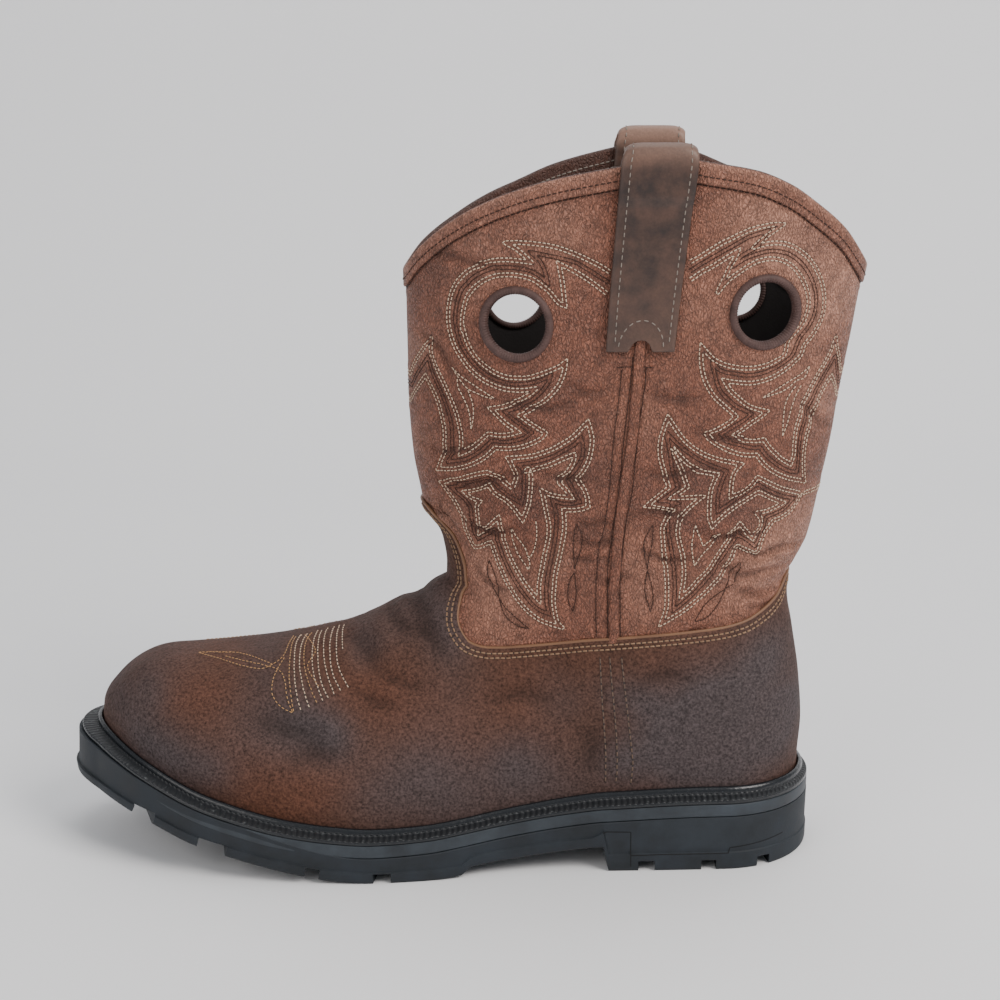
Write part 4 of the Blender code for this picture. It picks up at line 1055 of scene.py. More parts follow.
def on_side(flat, side):
    """Lays a flat path on one side of the leather."""
    x, z = flat[:, 0].copy(), flat[:, 1].copy()
    if side == MEDIAL:
        share = (x - shaft_front(z)) / (back_line(z) - shaft_front(z))
        rear = PULL_HOLES["rear_lateral"][0]
        near = np.exp(-(((share - rear) / 0.14) ** 2)) * np.clip((z - 0.13) / 0.06, 0, 1)
        x = x - REAR_FORWARD * near
        z = z - REAR_LOWER * near - LEAF_LOWER * np.clip((-0.078 - x) / 0.012, 0, 1)
    return np.stack([x, surface_y(x, z, side), z], axis=-1)


def skin_normals(points, side):
    """Outward normals of the leather under points of a side."""
    small = 3e-4
    x, z = points[:, 0], points[:, 2]
    by_x = (surface_y(x + small, z, side) - surface_y(x - small, z, side)) / (2 * small)
    by_z = (surface_y(x, z + small, side) - surface_y(x, z - small, side)) / (2 * small)
    return unit(np.stack([-by_x, np.ones_like(x), -by_z], axis=-1) * side)


def beside(path, side, distance):
    """The line at a distance beside a path, mitred at sharp corners and trimmed where it would cross."""
    if distance == 0:
        return path
    out = skin_normals(path, side)
    step = unit(np.diff(path, axis=0))
    before = np.cross(out, np.concatenate([step[:1], step]))
    after = np.cross(out, np.concatenate([step, step[-1:]]))
    spread = np.maximum(1 + np.sum(before * after, axis=1, keepdims=True), 0.30)
    moved = path + (before + after) / spread * distance
    tree = kd_tree(path)
    keep = [tree.find(point)[2] > abs(distance) * 0.94 for point in moved]
    return moved[np.array(keep)]


def kd_tree(points):
    """A search tree over points."""
    tree = KDTree(len(points))
    for index, point in enumerate(points):
        tree.insert(point, index)
    tree.balance()
    return tree


def charted_rows(charts, gap):
    """Stitch rows of a set of charts on both sides: name, thread, side and points."""
    rows = []
    for key, chart in charts.items():
        name, thread = key.split()
        flat = flat_path(chart)
        for side in (LATERAL, MEDIAL):
            path = on_side(flat, side)
            for distance in (-gap, gap) if gap else (0,):
                rows.append((name, thread, side, beside(path, side, distance)))
    return rows


def edge_rows():
    """Two rows of stitches under the vamp's edge on each side."""
    rows = []
    for side in (LATERAL, MEDIAL):
        edge = vamp_edge_line(side)
        rows += [("vamp_edge", "tan", side, beside(edge, side, gap * side)) for gap in EDGE_ROW_GAPS]
    return rows


def crease_lines(creases):
    """Half width, depth and points of each crease, on both sides."""
    lines = []
    for wide, depth, chart in creases:
        flat = flat_path(chart)
        for side in (LATERAL, MEDIAL):
            lines.append((wide / 1000, depth * CREASE_GAIN / 1000, on_side(flat, side)))
    return lines


def relief(points, out, rows, creases, puff):
    """Presses stitch rows and creases into leather; returns the points and how dark each place is, a painted
    shade in grooves and creases.
    """
    flat = points.reshape(-1, 3)
    lift = np.zeros(len(flat))
    dark = np.zeros(len(flat))
    if rows:
        tree = kd_tree(np.concatenate([row[3] for row in rows]))
        away = np.array([tree.find(point)[2] for point in flat])
        press = np.exp(-((away / GROOVE_WIDTH) ** 2))
        lift -= GROOVE_DEPTH * press
        lift += puff * np.exp(-(((away - PUFF_AWAY) / PUFF_WIDTH) ** 2))
        dark += PAINTED_GROOVE_SHADE * press
    for wide, depth, line in creases:
        reach = wide * 4
        near = np.all((flat > line.min(axis=0) - reach) & (flat < line.max(axis=0) + reach), axis=1)
        spots = flat[near]
        gap = np.linalg.norm(spots[:, None] - line[None, ::3], axis=2)
        nearest = np.argmin(gap, axis=1)
        distance = gap[np.arange(len(spots)), nearest] / wide
        fade = np.sin(math.pi * (nearest + 0.5) / len(line[::3])) ** 0.6
        trough = np.exp(-(distance**2)) - 0.35 * np.exp(-((distance - 2.0) ** 2) / 0.8)
        lift[near] -= depth * trough * fade
        shade = np.exp(-((distance * 1.3) ** 2)) * fade
        dark[near] += PAINTED_CREASE_SHADE * shade * min(1.0, depth / 0.0008)
    moved = flat + out.reshape(-1, 3) * lift[:, None]
    return moved.reshape(points.shape), np.clip(dark, 0, 1).reshape(points.shape[:2])


def stain_and_painted_light_marks(points, kinds):
    """How strongly each kind of mark shows at each point: stains, painted shade and painted highlight."""
    flat = points.reshape(-1, 3)
    marks = {}
    for kind in kinds:
        total = np.zeros(len(flat))
        spots = np.array([spot[:2] for spot in STAINS_AND_PAINTED_LIGHT[kind]])
        for (x, z), (_, _, reach, strength) in zip(seen_on_boot(spots)[0], STAINS_AND_PAINTED_LIGHT[kind]):
            if not np.isnan(x):
                away = np.hypot(flat[:, 0] - x, flat[:, 2] - z) / (reach * PIXEL_SIZE)
                total += strength * np.exp(-(away**2))
        marks[kind] = np.clip(total, 0, 1).reshape(points.shape[:2])
    return marks


def repeated(name, template, places, finish):
    """One mesh of many copies of a small shape. places are matrices and spots, one for each copy."""
    turns, spots = places
    mesh = bpy.data.meshes.new(name)
    count, corners = len(template.vertices), len(template.loops)
    base = np.empty(count * 3)
    template.vertices.foreach_get("co", base)
    co = np.einsum("nij,vj->nvi", turns, base.reshape(-1, 3)) + spots[:, None] + SHIFT
    loops = np.empty(corners, dtype=np.int32)
    template.loops.foreach_get("vertex_index", loops)
    starts = np.empty(len(template.polygons), dtype=np.int32)
    template.polygons.foreach_get("loop_start", starts)
    copies = np.arange(len(turns))[:, None]
    mesh.vertices.add(co.size // 3)
    mesh.vertices.foreach_set("co", co.ravel())
    mesh.loops.add(corners * len(turns))
    mesh.loops.foreach_set("vertex_index", (loops[None, :] + copies * count).ravel().astype(np.int32))
    mesh.polygons.add(len(starts) * len(turns))
    mesh.polygons.foreach_set("loop_start", (starts[None, :] + copies * corners).ravel().astype(np.int32))
    mesh.update(calc_edges=True)
    mesh.validate()
    mesh.shade_smooth()
    mesh.materials.append(finish)
    made = placed(name, mesh)
    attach(made, "root")
    return made


def stitch_shape():
    """A short blunt thread along X, one unit long and wide."""
    shape = bmesh.new()
    bmesh.ops.create_uvsphere(shape, u_segments=5, v_segments=3, radius=0.5)
    for vertex in shape.verts:
        vertex.co.z = math.copysign(0.5 if abs(vertex.co.z) > 0.4 else 0.34, vertex.co.z)
    bmesh.ops.rotate(shape, verts=shape.verts, matrix=Matrix.Rotation(math.pi / 2, 3, "Y"))
    return mesh_of("stitch", shape)


def stitch_places(rows, trees, kind):
    """Matrices and spots of a kind of stitches, laid along rows on the leather and sunk by their pull."""
    pitch, length, width, height = STITCHES[kind]
    turns, spots = [], []
    for _, _, _, line in rows:
        if len(line) < 3:
            continue
        run = run_along(line)
        count = int(run[-1] / pitch)
        for index in range(count):
            middle = (index + 0.5) * run[-1] / count
            ends = [
                np.array([np.interp(middle + half, run, line[:, axis]) for axis in range(3)])
                for half in (-length / 2, length / 2)
            ]
            if np.linalg.norm(ends[1] - ends[0]) < length * 0.5:
                continue
            place, out = on_leather(Vector((ends[0] + ends[1]) / 2), trees)
            if place is None:
                continue
            along = Vector(ends[1] - ends[0])
            along = (along - out * along.dot(out)).normalized()
            across = out.cross(along)
            turns.append(np.array([along * length, across * width, out * height]).T)
            spots.append(np.array(place + out * height * 0.12))
    return np.array(turns), np.array(spots)


def on_leather(point, trees):
    """Nearest place on the leather and its outward normal there."""
    best = (None, None)
    least = FARTHEST
    for tree in trees:
        place, out, _, away = tree.find_nearest(point)
        if place is not None and away < least:
            best, least = (place, out), away
    return best


# Finishes


def linear(code):
    """An sRGB hex colour turned linear."""
    parts = [int(code[i : i + 2], 16) / 255 for i in (0, 2, 4)]
    return (*(part / 12.92 if part <= 0.04045 else ((part + 0.055) / 1.055) ** 2.4 for part in parts), 1.0)


def plug(tree, node, sockets):
    """Gives sockets a value, the output that feeds them, or the node whose first output in use does."""
    for key, value in sockets.items():
        if isinstance(value, bpy.types.Node):
            value = next(output for output in value.outputs if output.enabled)
        if isinstance(value, bpy.types.NodeSocket):
            tree.links.new(value, node.inputs[key])
        else:
            node.inputs[key].default_value = value
    return node


def add(tree, kind, sockets, **settings):
    """Adds a node with its settings and plugs its sockets."""
    made = tree.nodes.new("ShaderNode" + kind)
    for key, value in settings.items():
        setattr(made, key, value)
    return plug(tree, made, sockets)


def finish(name, roughness, **values):
    """A named material, its nodes, its shader with plain values set, and the place on the object."""
    made = bpy.data.materials.new(name)
    made.use_nodes = True
    shader = made.node_tree.nodes["Principled BSDF"]
    shader.inputs["Roughness"].default_value = roughness
    for key, value in values.items():
        shader.inputs[key.replace("_", " ")].default_value = value
    tree = made.node_tree
    return made, tree, shader, add(tree, "TexCoord", {}).outputs["Object"]


# A colour mix takes its share at socket 0 and its two colours at sockets 6 and 7
RGB = {"data_type": "RGBA"}
MULTIPLY = {"data_type": "RGBA", "blend_type": "MULTIPLY"}


def shaft_leather():
    """Pull-up cowhide, milled so that its grain shrinks to pebbles: warm tan, darker in its valleys,
    paler and a little glossy on its tops."""
    made, tree, shader, place = finish("shaft_pebbled_cowhide", 0.5, Specular_IOR_Level=0.5)
    mark = {
        key: add(tree, "Attribute", {}, attribute_name=key).outputs["Fac"]
        for key in ("dark", "pale", "shade")
    }
    drift = add(tree, "TexNoise", {"Vector": place, "Scale": 30.0, "Detail": 6.0})
    mottle = add(tree, "TexNoise", {"Vector": place, "Scale": 190.0, "Detail": 5.0})
    # Grain creases about 0.7 mm apart and twice as tall, bent out of line by a slower noise
    bend = add(tree, "TexNoise", {"Vector": place, "Scale": 150.0, "Detail": 3.0})
    bent = add(tree, "Mix", {0: 0.004, 4: place, 5: bend.outputs["Color"]}, data_type="VECTOR")
    stretch = add(
        tree, "Mapping", {"Vector": bent, "Rotation": (0.0, 0.35, 0.0), "Scale": (1500.0, 1500.0, 760.0)}
    )
    crease = add(tree, "TexNoise", {"Vector": stretch, "Scale": 1.0, "Detail": 2.0, "Roughness": 0.6})
    pebble = add(tree, "TexVoronoi", {"Vector": stretch, "Scale": 0.62}, feature="DISTANCE_TO_EDGE")
    top = add(tree, "MapRange", {"Value": pebble, "From Max": 0.22}, interpolation_type="SMOOTHSTEP")
    tan = add(tree, "Mix", {0: drift, 6: linear("6c4233"), 7: linear("915b45")}, **RGB)
    # Pale marks lighten the tan: rubbed dye, and a painted highlight high on the shaft's rear. Shade marks
    # darken it: painted shade.
    lightened = add(tree, "Mix", {0: mark["pale"], 6: tan, 7: linear("a97762")}, **RGB)
    shaded = add(tree, "Mix", {0: mark["shade"], 6: lightened, 7: linear("55352b")}, **RGB)
    uneven = add(
        tree,
        "MapRange",
        {"Value": mottle, "From Min": 0.3, "From Max": 0.7, "To Min": 0.75, "To Max": 1.25},
    )
    mottled = add(tree, "Mix", {0: 1.0, 6: shaded, 7: uneven}, **MULTIPLY)
    streak = add(
        tree,
        "MapRange",
        {"Value": crease, "From Min": 0.34, "From Max": 0.66, "To Min": 0.58, "To Max": 1.36},
    )
    creased = add(tree, "Mix", {0: 0.85, 6: mottled, 7: streak}, **MULTIPLY)
    valley = add(tree, "MapRange", {"Value": top, "To Min": 0.6, "To Max": 1.08})
    grained = add(tree, "Mix", {0: 0.8, 6: creased, 7: valley}, **MULTIPLY)
    # Dark marks: painted shade in stitch grooves and creases on the panels; on the collar binding, its dye;
    # along the side piping, its dark edges.
    darkened = add(tree, "Mix", {0: mark["dark"], 6: grained, 7: linear("412a23")}, **RGB)
    height = add(tree, "Math", {0: crease, 1: 2.6, 2: top}, operation="MULTIPLY_ADD")
    # Wrinkles of the worn leather, about 4 mm apart and lying round the leg
    across = add(tree, "Mapping", {"Vector": bent, "Scale": (85.0, 85.0, 250.0)})
    fold = add(tree, "TexNoise", {"Vector": across, "Scale": 1.0, "Detail": 3.0})
    wrinkle = add(tree, "Bump", {"Strength": 0.55, "Distance": 0.0018, "Height": fold})
    bump = add(tree, "Bump", {"Strength": 0.9, "Distance": 0.0005, "Height": height, "Normal": wrinkle})
    gloss = add(tree, "MapRange", {"Value": top, "To Min": 0.72, "To Max": 0.44})
    plug(tree, shader, {"Base Color": darkened, "Normal": bump, "Roughness": gloss})
    return made


def foot_leather_finish():
    """Oiled nubuck: a fine matt nap over dark brown, blackened by dirt and burnished rusty by wear."""
    made, tree, shader, place = finish("foot_oiled_nubuck", 0.75, Specular_IOR_Level=0.16)
    mark = {
        key: add(tree, "Attribute", {}, attribute_name=key).outputs["Fac"]
        for key in ("dark", "soot", "rust")
    }
    drift = add(tree, "TexNoise", {"Vector": place, "Scale": 32.0, "Detail": 6.0})
    cloud = add(tree, "TexNoise", {"Vector": place, "Scale": 90.0, "Detail": 5.0})
    # The nap's tufts, about 0.9 mm wide
    nap = add(tree, "TexNoise", {"Vector": place, "Scale": 900.0, "Detail": 4.0, "Roughness": 0.7})
    brown = add(tree, "Mix", {0: drift, 6: linear("3a2923"), 7: linear("553b30")}, **RGB)
    patchy = add(tree, "MapRange", {"Value": cloud, "From Min": 0.3, "From Max": 0.7})
    worn = add(
        tree, "Math", {0: patchy, 1: 0.35, 2: mark["rust"]}, operation="MULTIPLY_ADD", use_clamp=True
    )
    rust_share = add(tree, "Math", {0: worn, 1: 0.65}, operation="MULTIPLY")
    rusty = add(tree, "Mix", {0: rust_share, 6: brown, 7: linear("5d3a2b")}, **RGB)
    soot_share = add(tree, "Math", {0: mark["soot"], 1: 0.9}, operation="MULTIPLY")
    sooty = add(tree, "Mix", {0: soot_share, 6: rusty, 7: linear("463f40")}, **RGB)
    fleck = add(
        tree, "MapRange", {"Value": nap, "From Min": 0.3, "From Max": 0.7, "To Min": 0.3, "To Max": 1.7}
    )
    napped = add(tree, "Mix", {0: 1.0, 6: sooty, 7: fleck}, **MULTIPLY)
    # Dark marks: painted shade in stitch grooves and creases.
    darkened = add(tree, "Mix", {0: mark["dark"], 6: napped, 7: linear("211815")}, **RGB)
    peel = add(tree, "TexVoronoi", {"Vector": place, "Scale": 520.0}, feature="SMOOTH_F1")
    height = add(tree, "Math", {0: peel, 1: 0.8, 2: nap}, operation="MULTIPLY_ADD")
    slack = add(tree, "Bump", {"Strength": 0.35, "Distance": 0.0014, "Height": cloud})
    bump = add(tree, "Bump", {"Strength": 0.8, "Distance": 0.00035, "Height": height, "Normal": slack})
    gloss = add(tree, "MapRange", {"Value": cloud, "To Min": 0.85, "To Max": 0.62})
    plug(tree, shader, {"Base Color": darkened, "Normal": bump, "Roughness": gloss})
    return made


def strap_leather():
    """Waxed cowhide: near-black brown with cloudy smears, paler tan where marked: wax rubbed through, and on
    the outer strap's fold a painted highlight.
    """
    made, tree, shader, place = finish("strap_waxed_cowhide", 0.45, Specular_IOR_Level=0.4)
    worn = add(tree, "Attribute", {}, attribute_name="worn").outputs["Fac"]
    smear = add(tree, "TexNoise", {"Vector": place, "Scale": 110.0, "Detail": 6.0, "Roughness": 0.6})
    share = add(tree, "MapRange", {"Value": smear, "From Min": 0.35, "From Max": 0.65})
    brown = add(tree, "Mix", {0: share, 6: linear("2d2320"), 7: linear("4d382f")}, **RGB)
    # The worn mark: wear, and on the outer strap's fold a painted highlight
    lightened = add(tree, "Mix", {0: worn, 6: brown, 7: linear("88695a")}, **RGB)
    pore = add(tree, "TexNoise", {"Vector": place, "Scale": 1100.0, "Detail": 3.0})
    fleck = add(tree, "MapRange", {"Value": pore, "To Min": 0.72, "To Max": 1.28})
    flecked = add(tree, "Mix", {0: 1.0, 6: lightened, 7: fleck}, **MULTIPLY)
    bump = add(tree, "Bump", {"Strength": 0.5, "Distance": 0.0002, "Height": pore})
    plug(tree, shader, {"Base Color": flecked, "Normal": bump})
    return made


def smooth_leather(name, dark, light, roughness, grain, strength):
    """Corrected-grain leather, pressed smooth and waxed: shallow grain and a soft shine."""
    made, tree, shader, place = finish(name, roughness, Specular_IOR_Level=0.45)
    drift = add(tree, "TexNoise", {"Vector": place, "Scale": 90.0, "Detail": 6.0})
    colour = add(tree, "Mix", {0: drift, 6: linear(dark), 7: linear(light)}, **RGB)
    fine = add(tree, "TexVoronoi", {"Vector": place, "Scale": grain}, feature="SMOOTH_F1")
    bump = add(tree, "Bump", {"Strength": strength, "Distance": 0.0002, "Height": fine})
    plug(tree, shader, {"Base Color": colour, "Normal": bump})
    return made


def thread_finish(name, dark, light):
    """Bonded polyester thread, twisted: a low soft shine, its tone broken by dirt."""
    made, tree, shader, place = finish(name, 0.6, Specular_IOR_Level=0.3)
    dirt = add(tree, "TexNoise", {"Vector": place, "Scale": 220.0, "Detail": 3.0})
    colour = add(tree, "Mix", {0: dirt, 6: linear(dark), 7: linear(light)}, **RGB)
    twist = add(tree, "TexNoise", {"Vector": place, "Scale": 3000.0})
    bump = add(tree, "Bump", {"Strength": 0.3, "Distance": 0.0001, "Height": twist})
    plug(tree, shader, {"Base Color": colour, "Normal": bump})
    return made


def rubber_finish(name, dark, light, low, high, strength):
    """Moulded nitrile rubber: slate black, with the mould's fine skin and dust that greys it."""
    made, tree, shader, place = finish(name, high, Specular_IOR_Level=0.4)
    dust = add(tree, "TexNoise", {"Vector": place, "Scale": 60.0, "Detail": 7.0, "Roughness": 0.65})
    share = add(tree, "MapRange", {"Value": dust, "From Min": 0.35, "From Max": 0.7})
    colour = add(tree, "Mix", {0: share, 6: linear(dark), 7: linear(light)}, **RGB)
    gloss = add(tree, "MapRange", {"Value": share, "To Min": low, "To Max": high})
    skin = add(tree, "TexNoise", {"Vector": place, "Scale": 900.0, "Detail": 3.0})
    bump = add(tree, "Bump", {"Strength": strength, "Distance": 0.0002, "Height": skin})
    plug(tree, shader, {"Base Color": colour, "Roughness": gloss, "Normal": bump})
    return made


def insole_finish():
    """Brushed polyester cover over foam: near black, matt, with a short pile."""
    made, tree, shader, place = finish("insole_brushed_cover", 0.9)
    pile = add(tree, "TexNoise", {"Vector": place, "Scale": 1200.0, "Detail": 4.0})
    colour = add(tree, "Mix", {0: pile, 6: linear("1c1b1c"), 7: linear("353334")}, **RGB)
    bump = add(tree, "Bump", {"Strength": 0.5, "Distance": 0.0003, "Height": pile})
    plug(tree, shader, {"Base Color": colour, "Normal": bump})
    return made


def paper_finish():
    """Matt seamless paper: pale, faintly uneven."""
    made, tree, shader, place = finish("studio_paper", 0.85, Specular_IOR_Level=0.2)
    drift = add(tree, "TexNoise", {"Vector": place, "Scale": 2.0, "Detail": 3.0})
    colour = add(tree, "Mix", {0: drift, 6: linear("ececee"), 7: linear("f2f2f3")}, **RGB)
    plug(tree, shader, {"Base Color": colour})
    return made


# Leather pieces


def hole_frames():
    """Each pull hole: its name, its side, its centre on the leather and the way it faces."""
    frames = []
    for name, (share, height) in PULL_HOLES.items():
        side = LATERAL if name.endswith("lateral") else MEDIAL
        z = height * SHAFT_TOP
        small = 1e-4
        centre = shaft_point(np.array(share), np.array(z), side)
        across = shaft_point(np.array(share + small), np.array(z), side) - centre
        up = shaft_point(np.array(share), np.array(z + small), side) - centre
        out = np.cross(across, up) * -side
        frames.append((name, side, Vector(centre), Vector(out).normalized()))
    return frames


def hole_cuts(radius):
    """Axes and radius of the openings for the pull holes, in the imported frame."""
    return [(centre + Vector(SHIFT), out, radius) for _, _, centre, out in hole_frames()]


def make_shaft(finish_of_shaft, rows, creases):
    """The shaft's front and rear panels, which meet under the side seams' piping."""
    made = []
    for name, front in (("shaft_front_panel", True), ("shaft_rear_panel", False)):
        points = shaft_half(front)
        out = facing_out(normals(points), points)
        points, dark = relief(points, out, rows, creases, SHAFT_PUFF)
        points, dark = points[:, 1:-1], dark[:, 1:-1]
        marks = {"dark": dark, **stain_and_painted_light_marks(points, ("pale", "shade"))}
        holes = hole_cuts(HOLE_RADIUS + LEATHER_ROOM)
        piece = grid_mesh(name, points, finish_of_shaft, marks=marks, holes=holes)
        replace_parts(piece, "upper")
        made.append(piece)
    return made


def make_foot(finish_of_foot, rows, creases):
    """Vamp and counter, one leather thickness proud of the shaft, with their edge rolled in."""
    points = foot_leather()
    out = facing_out(wrapped_normals(points), points)
    stands = points + out * OVERLAY
    stands, dark = relief(stands, out, rows, creases, FOOT_PUFF)
    rolled = [stands[-1] + out[-1] * depth for depth in (-0.0002, -0.0006, -OVERLAY - 0.0004)]
    stands = np.concatenate([stands, rolled])
    dark = np.concatenate([dark, np.full((3, dark.shape[1]), 0.6)])
    marks = {"dark": dark, **stain_and_painted_light_marks(stands, ("soot", "rust"))}
    columns = stands.shape[1]
    vamp = np.arange(-VAMP_COLUMNS, VAMP_COLUMNS + 1) % columns
    counter = np.arange(VAMP_COLUMNS, columns - VAMP_COLUMNS + 1)
    made = []
    for name, chosen in (("vamp", vamp), ("counter", counter)):
        part_marks = {key: value[:, chosen] for key, value in marks.items()}
        piece = grid_mesh(name, stands[:, chosen], finish_of_foot, marks=part_marks)
        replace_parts(piece, "upper")
        made.append(piece)
    return made


def bead(name, line, out, radius, finish_of_bead, lift):
    """A cord of leather laid along a line on the boot."""
    across = np.cross(unit(np.gradient(line, axis=0)), out)
    turns = np.linspace(0, 2 * math.pi, 10, endpoint=False)
    loops = [
        line + across * math.cos(turn) * radius + out * (math.sin(turn) * radius + lift)
        for turn in turns
    ]
    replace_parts(grid_mesh(name, np.stack(loops), finish_of_bead, tall=True), "upper")


def make_vamp_piping(finish_of_piping):
    """The cord along the vamp's edge, all round; its way out is evened where the two sides meet."""
    edge = vamp_edge_line(LATERAL, 420)
    inner = vamp_edge_line(MEDIAL, 420)
    line = np.concatenate([edge, inner[-2:0:-1]])
    out = np.concatenate([skin_normals(edge, LATERAL), skin_normals(inner, MEDIAL)[-2:0:-1]])
    out[0] = (-1, 0, 0)
    out[420] = (1, 0, 0)
    for _ in range(4):
        out = unit(out + np.roll(out, 1, axis=0) + np.roll(out, -1, axis=0))
    line = np.concatenate([line, line[:1]])
    out = np.concatenate([out, out[:1]])
    bead("vamp_piping", line, out, PIPING_RADIUS, finish_of_piping, PIPING_LIFT)


def make_side_piping(finish_of_piping):
    """The raised band down each side seam; its section is rounded, and dark along both edges."""
    across = np.array([-1.06, -1.0, -0.88, -0.6, 0.0, 0.6, 0.88, 1.0, 1.06])
    height = np.array([-0.0004, 0.0005, 0.0009, 0.00115, 0.0012, 0.00115, 0.0009, 0.0005, -0.0004])
    for name, side in SIDES:
        low = float(edge_of_vamp(0.47)) - 0.001
        z = np.linspace(low, piping_top() + 0.006, 150)
        span = back_line(z) - seam_start(z)
        share = seam_share(z, side)[:, None] + across * PIPING_WIDTH / 2 / span[:, None]
        points = shaft_point(share, z[:, None] + 0 * share, side)
        out = facing_out(normals(points), points)
        dark = np.tile((np.abs(across) > 0.9) * 0.8, (len(z), 1))
        raised = points + out * height[None, :, None]
        piece = grid_mesh("side_piping_" + name, raised, finish_of_piping, marks={"dark": dark})
        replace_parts(piece, "upper")


def make_lining(finish_of_facing, finish_of_lining):
    """The shaft's inside: a leather facing below the collar and a dark lining under it."""
    share, side = closed_collar(240)
    high = collar_height(share, side)
    for name, low, top, rows, depth, kind in (
        ("collar_facing", high - FACING_DEPTH, high, 24, WALL - 0.0001, finish_of_facing),
        ("shaft_lining", LINING_FOOT, high - FACING_DEPTH + 0.001, 60, WALL - 0.0005, finish_of_lining),
    ):
        z = low + (top - low) * np.linspace(0, 1, rows + 1)[:, None]
        points = shaft_point(share, z, side[None, :])
        out = facing_out(wrapped_normals(points), points)
        holes = hole_cuts(HOLE_RADIUS + LINING_ROOM)
        piece = grid_mesh(name, points - out * depth, kind, wrapped=True, holes=holes)
        piece.data.flip_normals()
        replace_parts(piece, "upper")


def closed_collar(columns):
    """Shares and sides of points all round the collar, outer side first."""
    turns = np.linspace(0, 2, columns + 1)[:-1]
    side = np.where(turns <= 1, LATERAL, MEDIAL)
    return share_of(np.where(turns > 1, 2 - turns, turns)), side


def collar_strip(share, side, height, lift):
    """A line round the collar, at a height over its rim and stood off the leather."""
    rim = collar_height(share, side)
    near = np.stack([shaft_point(share, rim + height + step, side) for step in (-0.004, 0.0, 0.004)])
    out = facing_out(wrapped_normals(near), near)
    return near[1] + out[1] * lift


def make_binding(finish_of_binding):
    """The collar's rolled edge: dyed dark inside and over the top, paler on its outer face and most on its
    shoulder as a painted highlight.
    """
    share, side = closed_collar(360)
    thick = BINDING_THICKNESS
    outer = CURVED_CLEARANCE * 0.4
    inner = -(WALL + CURVED_CLEARANCE * 0.6)
    middle = (outer + inner) / 2
    round_half = (outer - inner) / 2 + thick
    profile = [(outer, -BINDING_DEPTH), (outer + thick * 0.7, -BINDING_DEPTH + 0.0002)]
    profile += [(outer + thick, -BINDING_DEPTH * share_down) for share_down in (0.88, 0.6, 0.3)]
    for turn in np.linspace(0, math.pi, 9):
        profile.append((middle + math.cos(turn) * round_half, math.sin(turn) * (thick * 1.7) - 0.0002))
    profile += [(inner - thick, -BINDING_DEPTH * share_down) for share_down in (0.3, 0.6, 0.88)]
    profile += [(inner - thick * 0.7, -BINDING_DEPTH + 0.0002), (inner, -BINDING_DEPTH)]
    profile += [(inner, -0.001), (outer, -0.001)]
    loops = np.stack([collar_strip(share, side, height, lift) for lift, height in profile])
    lifts, heights = np.array(profile).T
    dyed = np.maximum(0.8 * (lifts < middle - 0.0004), 0.85 * (heights > 0.0011))
    # Pale on the outer face, most on the shoulder: a painted highlight
    lightened = (lifts > middle) * np.where(heights < -0.0003, 0.35, 0.8) * (heights < 0.001)
    kinds = (("dark", dyed), ("pale", lightened))
    marks = {key: np.tile(value[:, None], (1, 360)) for key, value in kinds}
    piece = grid_mesh(
        "collar_rolled_binding", loops, finish_of_binding, wrapped=True, tall=True, marks=marks
    )
    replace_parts(piece, "collar_binding")
    return piece


def collar_rows():
    """Stitch rows round the collar: outside on the binding and at its edge, inside two close together."""
    rows = []
    for thread, drop, lift in (
        ("dark", 0.0043, BINDING_THICKNESS),
        ("dark", 0.0079, 0.0),
        ("ash", 0.0043, -WALL - BINDING_THICKNESS),
        ("ash", 0.0070, -WALL - BINDING_THICKNESS),
    ):
        for side in (LATERAL, MEDIAL):
            share = share_of(np.linspace(0.004, 0.996, 320))
            z = collar_height(share, side) - drop
            line = shaft_point(share, z, side)
            rows.append(("collar", thread, side, line + skin_normals(line, side) * lift))
    return rows


def smooth_along(values, count):
    """Values drawn through a path's rows at evenly spread places."""
    run = run_along(values)
    rows = {"at": run / run[-1]}
    wanted = np.linspace(0, 1, count)
    made = []
    for axis in range(values.shape[1]):
        rows["value"] = values[:, axis]
        made.append(read(rows, "at", "value", wanted))
    return np.stack(made, axis=-1)


def strap_path(side):
    """Heights and stand-off of the strap's middle, from its outer foot over the collar to its inner end."""
    peak = float(collar_height(seam_share(SHAFT_TOP, side), side))
    rest = CURVED_CLEARANCE + STRAP_THICKNESS / 2
    over = rest + BINDING_THICKNESS + CLEARANCE
    top = peak + CURVED_CLEARANCE + BINDING_THICKNESS * 1.6 + STRAP_STAND + STRAP_THICKNESS / 2
    inner = -(WALL + over)
    inner_rest = -(WALL + rest)
    low = peak - STRAP_REACH
    return peak, np.array(
        [
            (low, rest - 0.0002),
            (low + STRAP_REACH * 0.34, rest - 0.0002),
            (low + STRAP_REACH * 0.60, rest),
            (peak - BINDING_DEPTH * 2.4, rest + 0.0003),
            (peak - BINDING_DEPTH * 1.8, over + 0.0004),
            (peak - BINDING_DEPTH * 0.3, over + 0.0005),
            (peak + BINDING_THICKNESS * 1.2, over + 0.0002),
            (top - 0.0013, over * 0.70 - WALL * 0.1),
            (top - 0.0003, over * 0.20 - WALL * 0.4),
            (top, (over + inner) / 2),
            (top - 0.0003, inner * 0.60),
            (top - 0.0013, inner * 0.86),
            (peak + BINDING_THICKNESS * 1.2, inner - 0.0002),
            (peak - BINDING_DEPTH * 0.3, inner - 0.0005),
            (peak - BINDING_DEPTH * 1.8, inner - 0.0004),
            (peak - BINDING_DEPTH * 2.4, inner_rest - 0.0003),
            (peak - STRAP_REACH * 0.52, inner_rest),
        ]
    )


